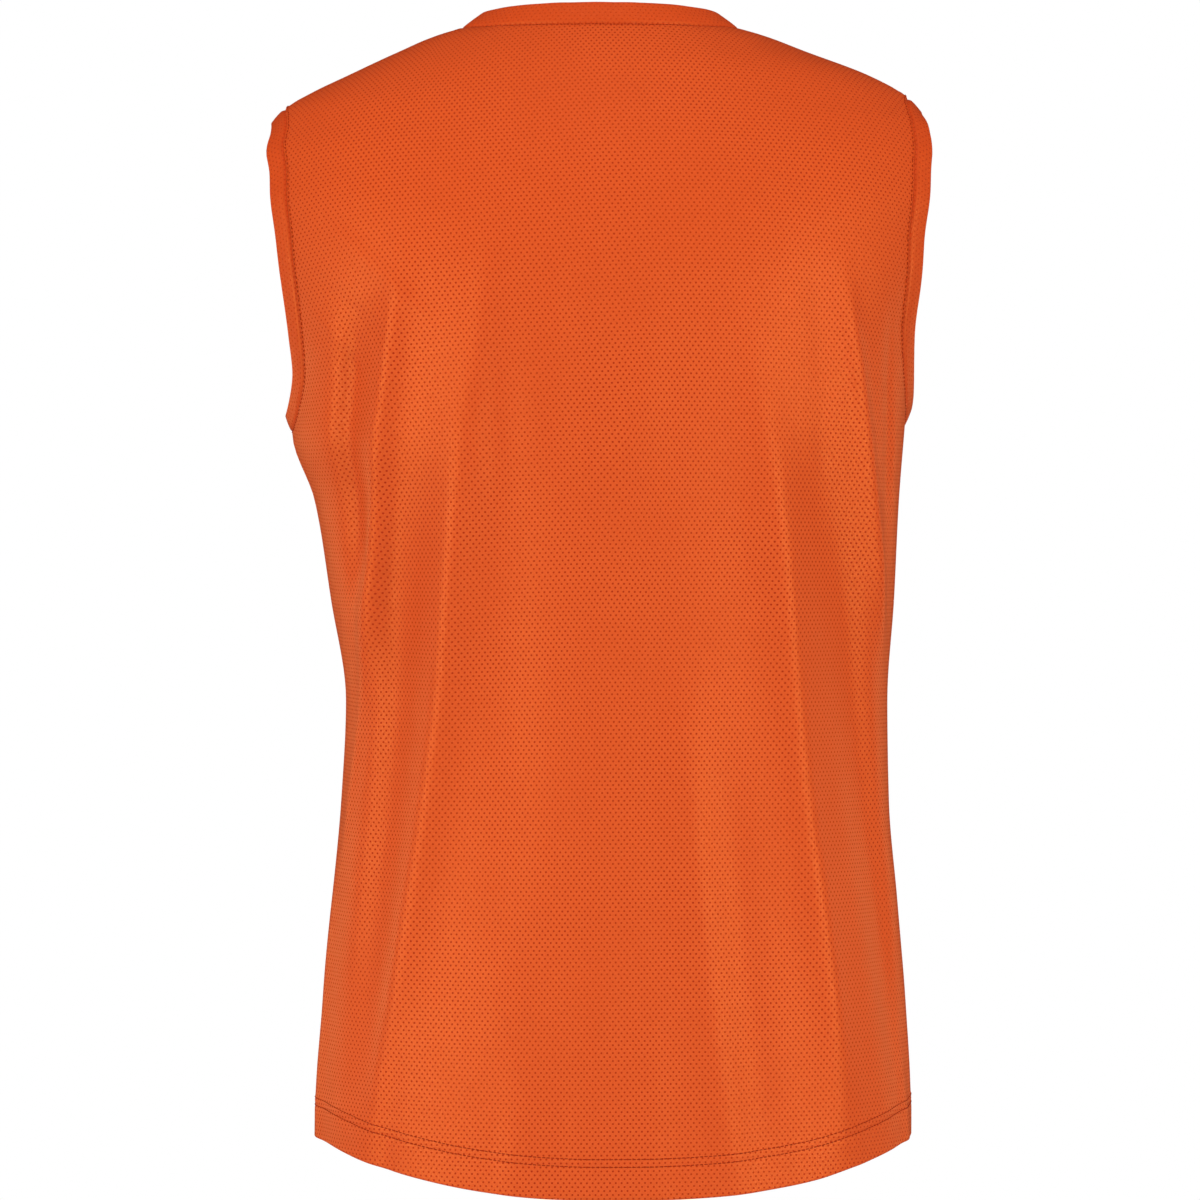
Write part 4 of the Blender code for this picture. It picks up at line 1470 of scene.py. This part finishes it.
def armhole_band(side: Side, back: Panel, front: Panel) -> Band:
    """The band of one armhole, which flares outwards from both panels' edges."""
    seam = joined(back.edge(side), front.edge(side)[::-1])
    outward = back.cut.form.outward(seam)
    leaning = inward_from(seam, outward, seam.mean(axis=0) + side.sideways)
    leaning = leaning + back.cut.armhole_lean(side, seam)
    return Band(f"armhole_band_{side.value}", seam, outward, leaning, ARMHOLE_BAND_WIDTH)


def neck_band(back: Panel, front: Panel) -> Band:
    """The neck's band, standing up round the neck by a rise that varies round it."""
    seam = joined(back.neck_edge(), front.neck_edge()[::-1])
    form = back.cut.form
    outward = form.outward(seam)
    stand = column(NECK_SEAM, "stand", np.abs(form.bearing(seam)), key="bearing")
    leaning = inward_from(seam, outward, seam.mean(axis=0) + UPRIGHT)
    return Band("neck_band", seam, outward, leaning + stand[:, None] * UPRIGHT, NECK_BAND_WIDTH)


def beside_armhole(side: Side, panel: Panel) -> Line:
    """The line on a panel beside its armhole seam."""
    above = slice(panel.armpit, None), slice(None, None, -1 if side is Side.LEFT else 1)
    points, outward = (grid[above].swapaxes(0, 1) for grid in (panel.points, panel.outward))
    return line_at(points, outward, panel.stitch_inset)


def below_neck(panel: Panel) -> Line:
    """The line on a panel below its neck seam."""
    neck = slice(None, None, -1), slice(panel.neck_start, -panel.neck_start)
    return line_at(panel.points[neck], panel.outward[neck], NECK_STITCH_INSET)


def log_size(part: Panel | Band) -> None:
    """Logs the flat size that a panel or a band was cut to."""
    LOG.info("%s: %.3f x %.3f m of cloth", part.name, *part.size)


def main() -> None:
    """Builds the garment and its studio, in order."""
    logging.basicConfig(level=logging.INFO, format="%(message)s")
    effects = Effects()
    mesh_cloth = MESH_CLOTH.material(effects)
    band_cloth = BAND_CLOTH.material(effects)
    thread = THREAD_WITH_PAINTED_SHADE.material(effects)
    form = BodyForm()
    cut = Cut(form)
    folds = (FoldSet(form, FOLDS), FoldSet(form, CREASES))
    back, front = (Panel(facing, cut, folds) for facing in (Facing.BACK, Facing.FRONT))
    for panel in (back, front):
        piece = panel.build(mesh_cloth)
        lines = [panel.hem_line(height) for height in panel.stitch_heights]
        sewn = HEM_STITCH.build(f"{panel.facing.value}_hem_stitches", lines, thread)
        log_size(panel)
    for side in Side:
        band = armhole_band(side, back, front)
        piece = band.build(band_cloth)
        lines = [beside_armhole(side, panel) for panel in (back, front)]
        sewn = ARMHOLE_STITCH.build(f"armhole_stitches_{side.value}", lines, thread)
        log_size(band)
    band = neck_band(back, front)
    piece = band.build(band_cloth)
    sewn = ZIGZAG_STITCH.build("neck_stitches", [below_neck(back), below_neck(front)], thread)
    log_size(band)
    Studio().build()


if __name__ == "__main__":
    main()
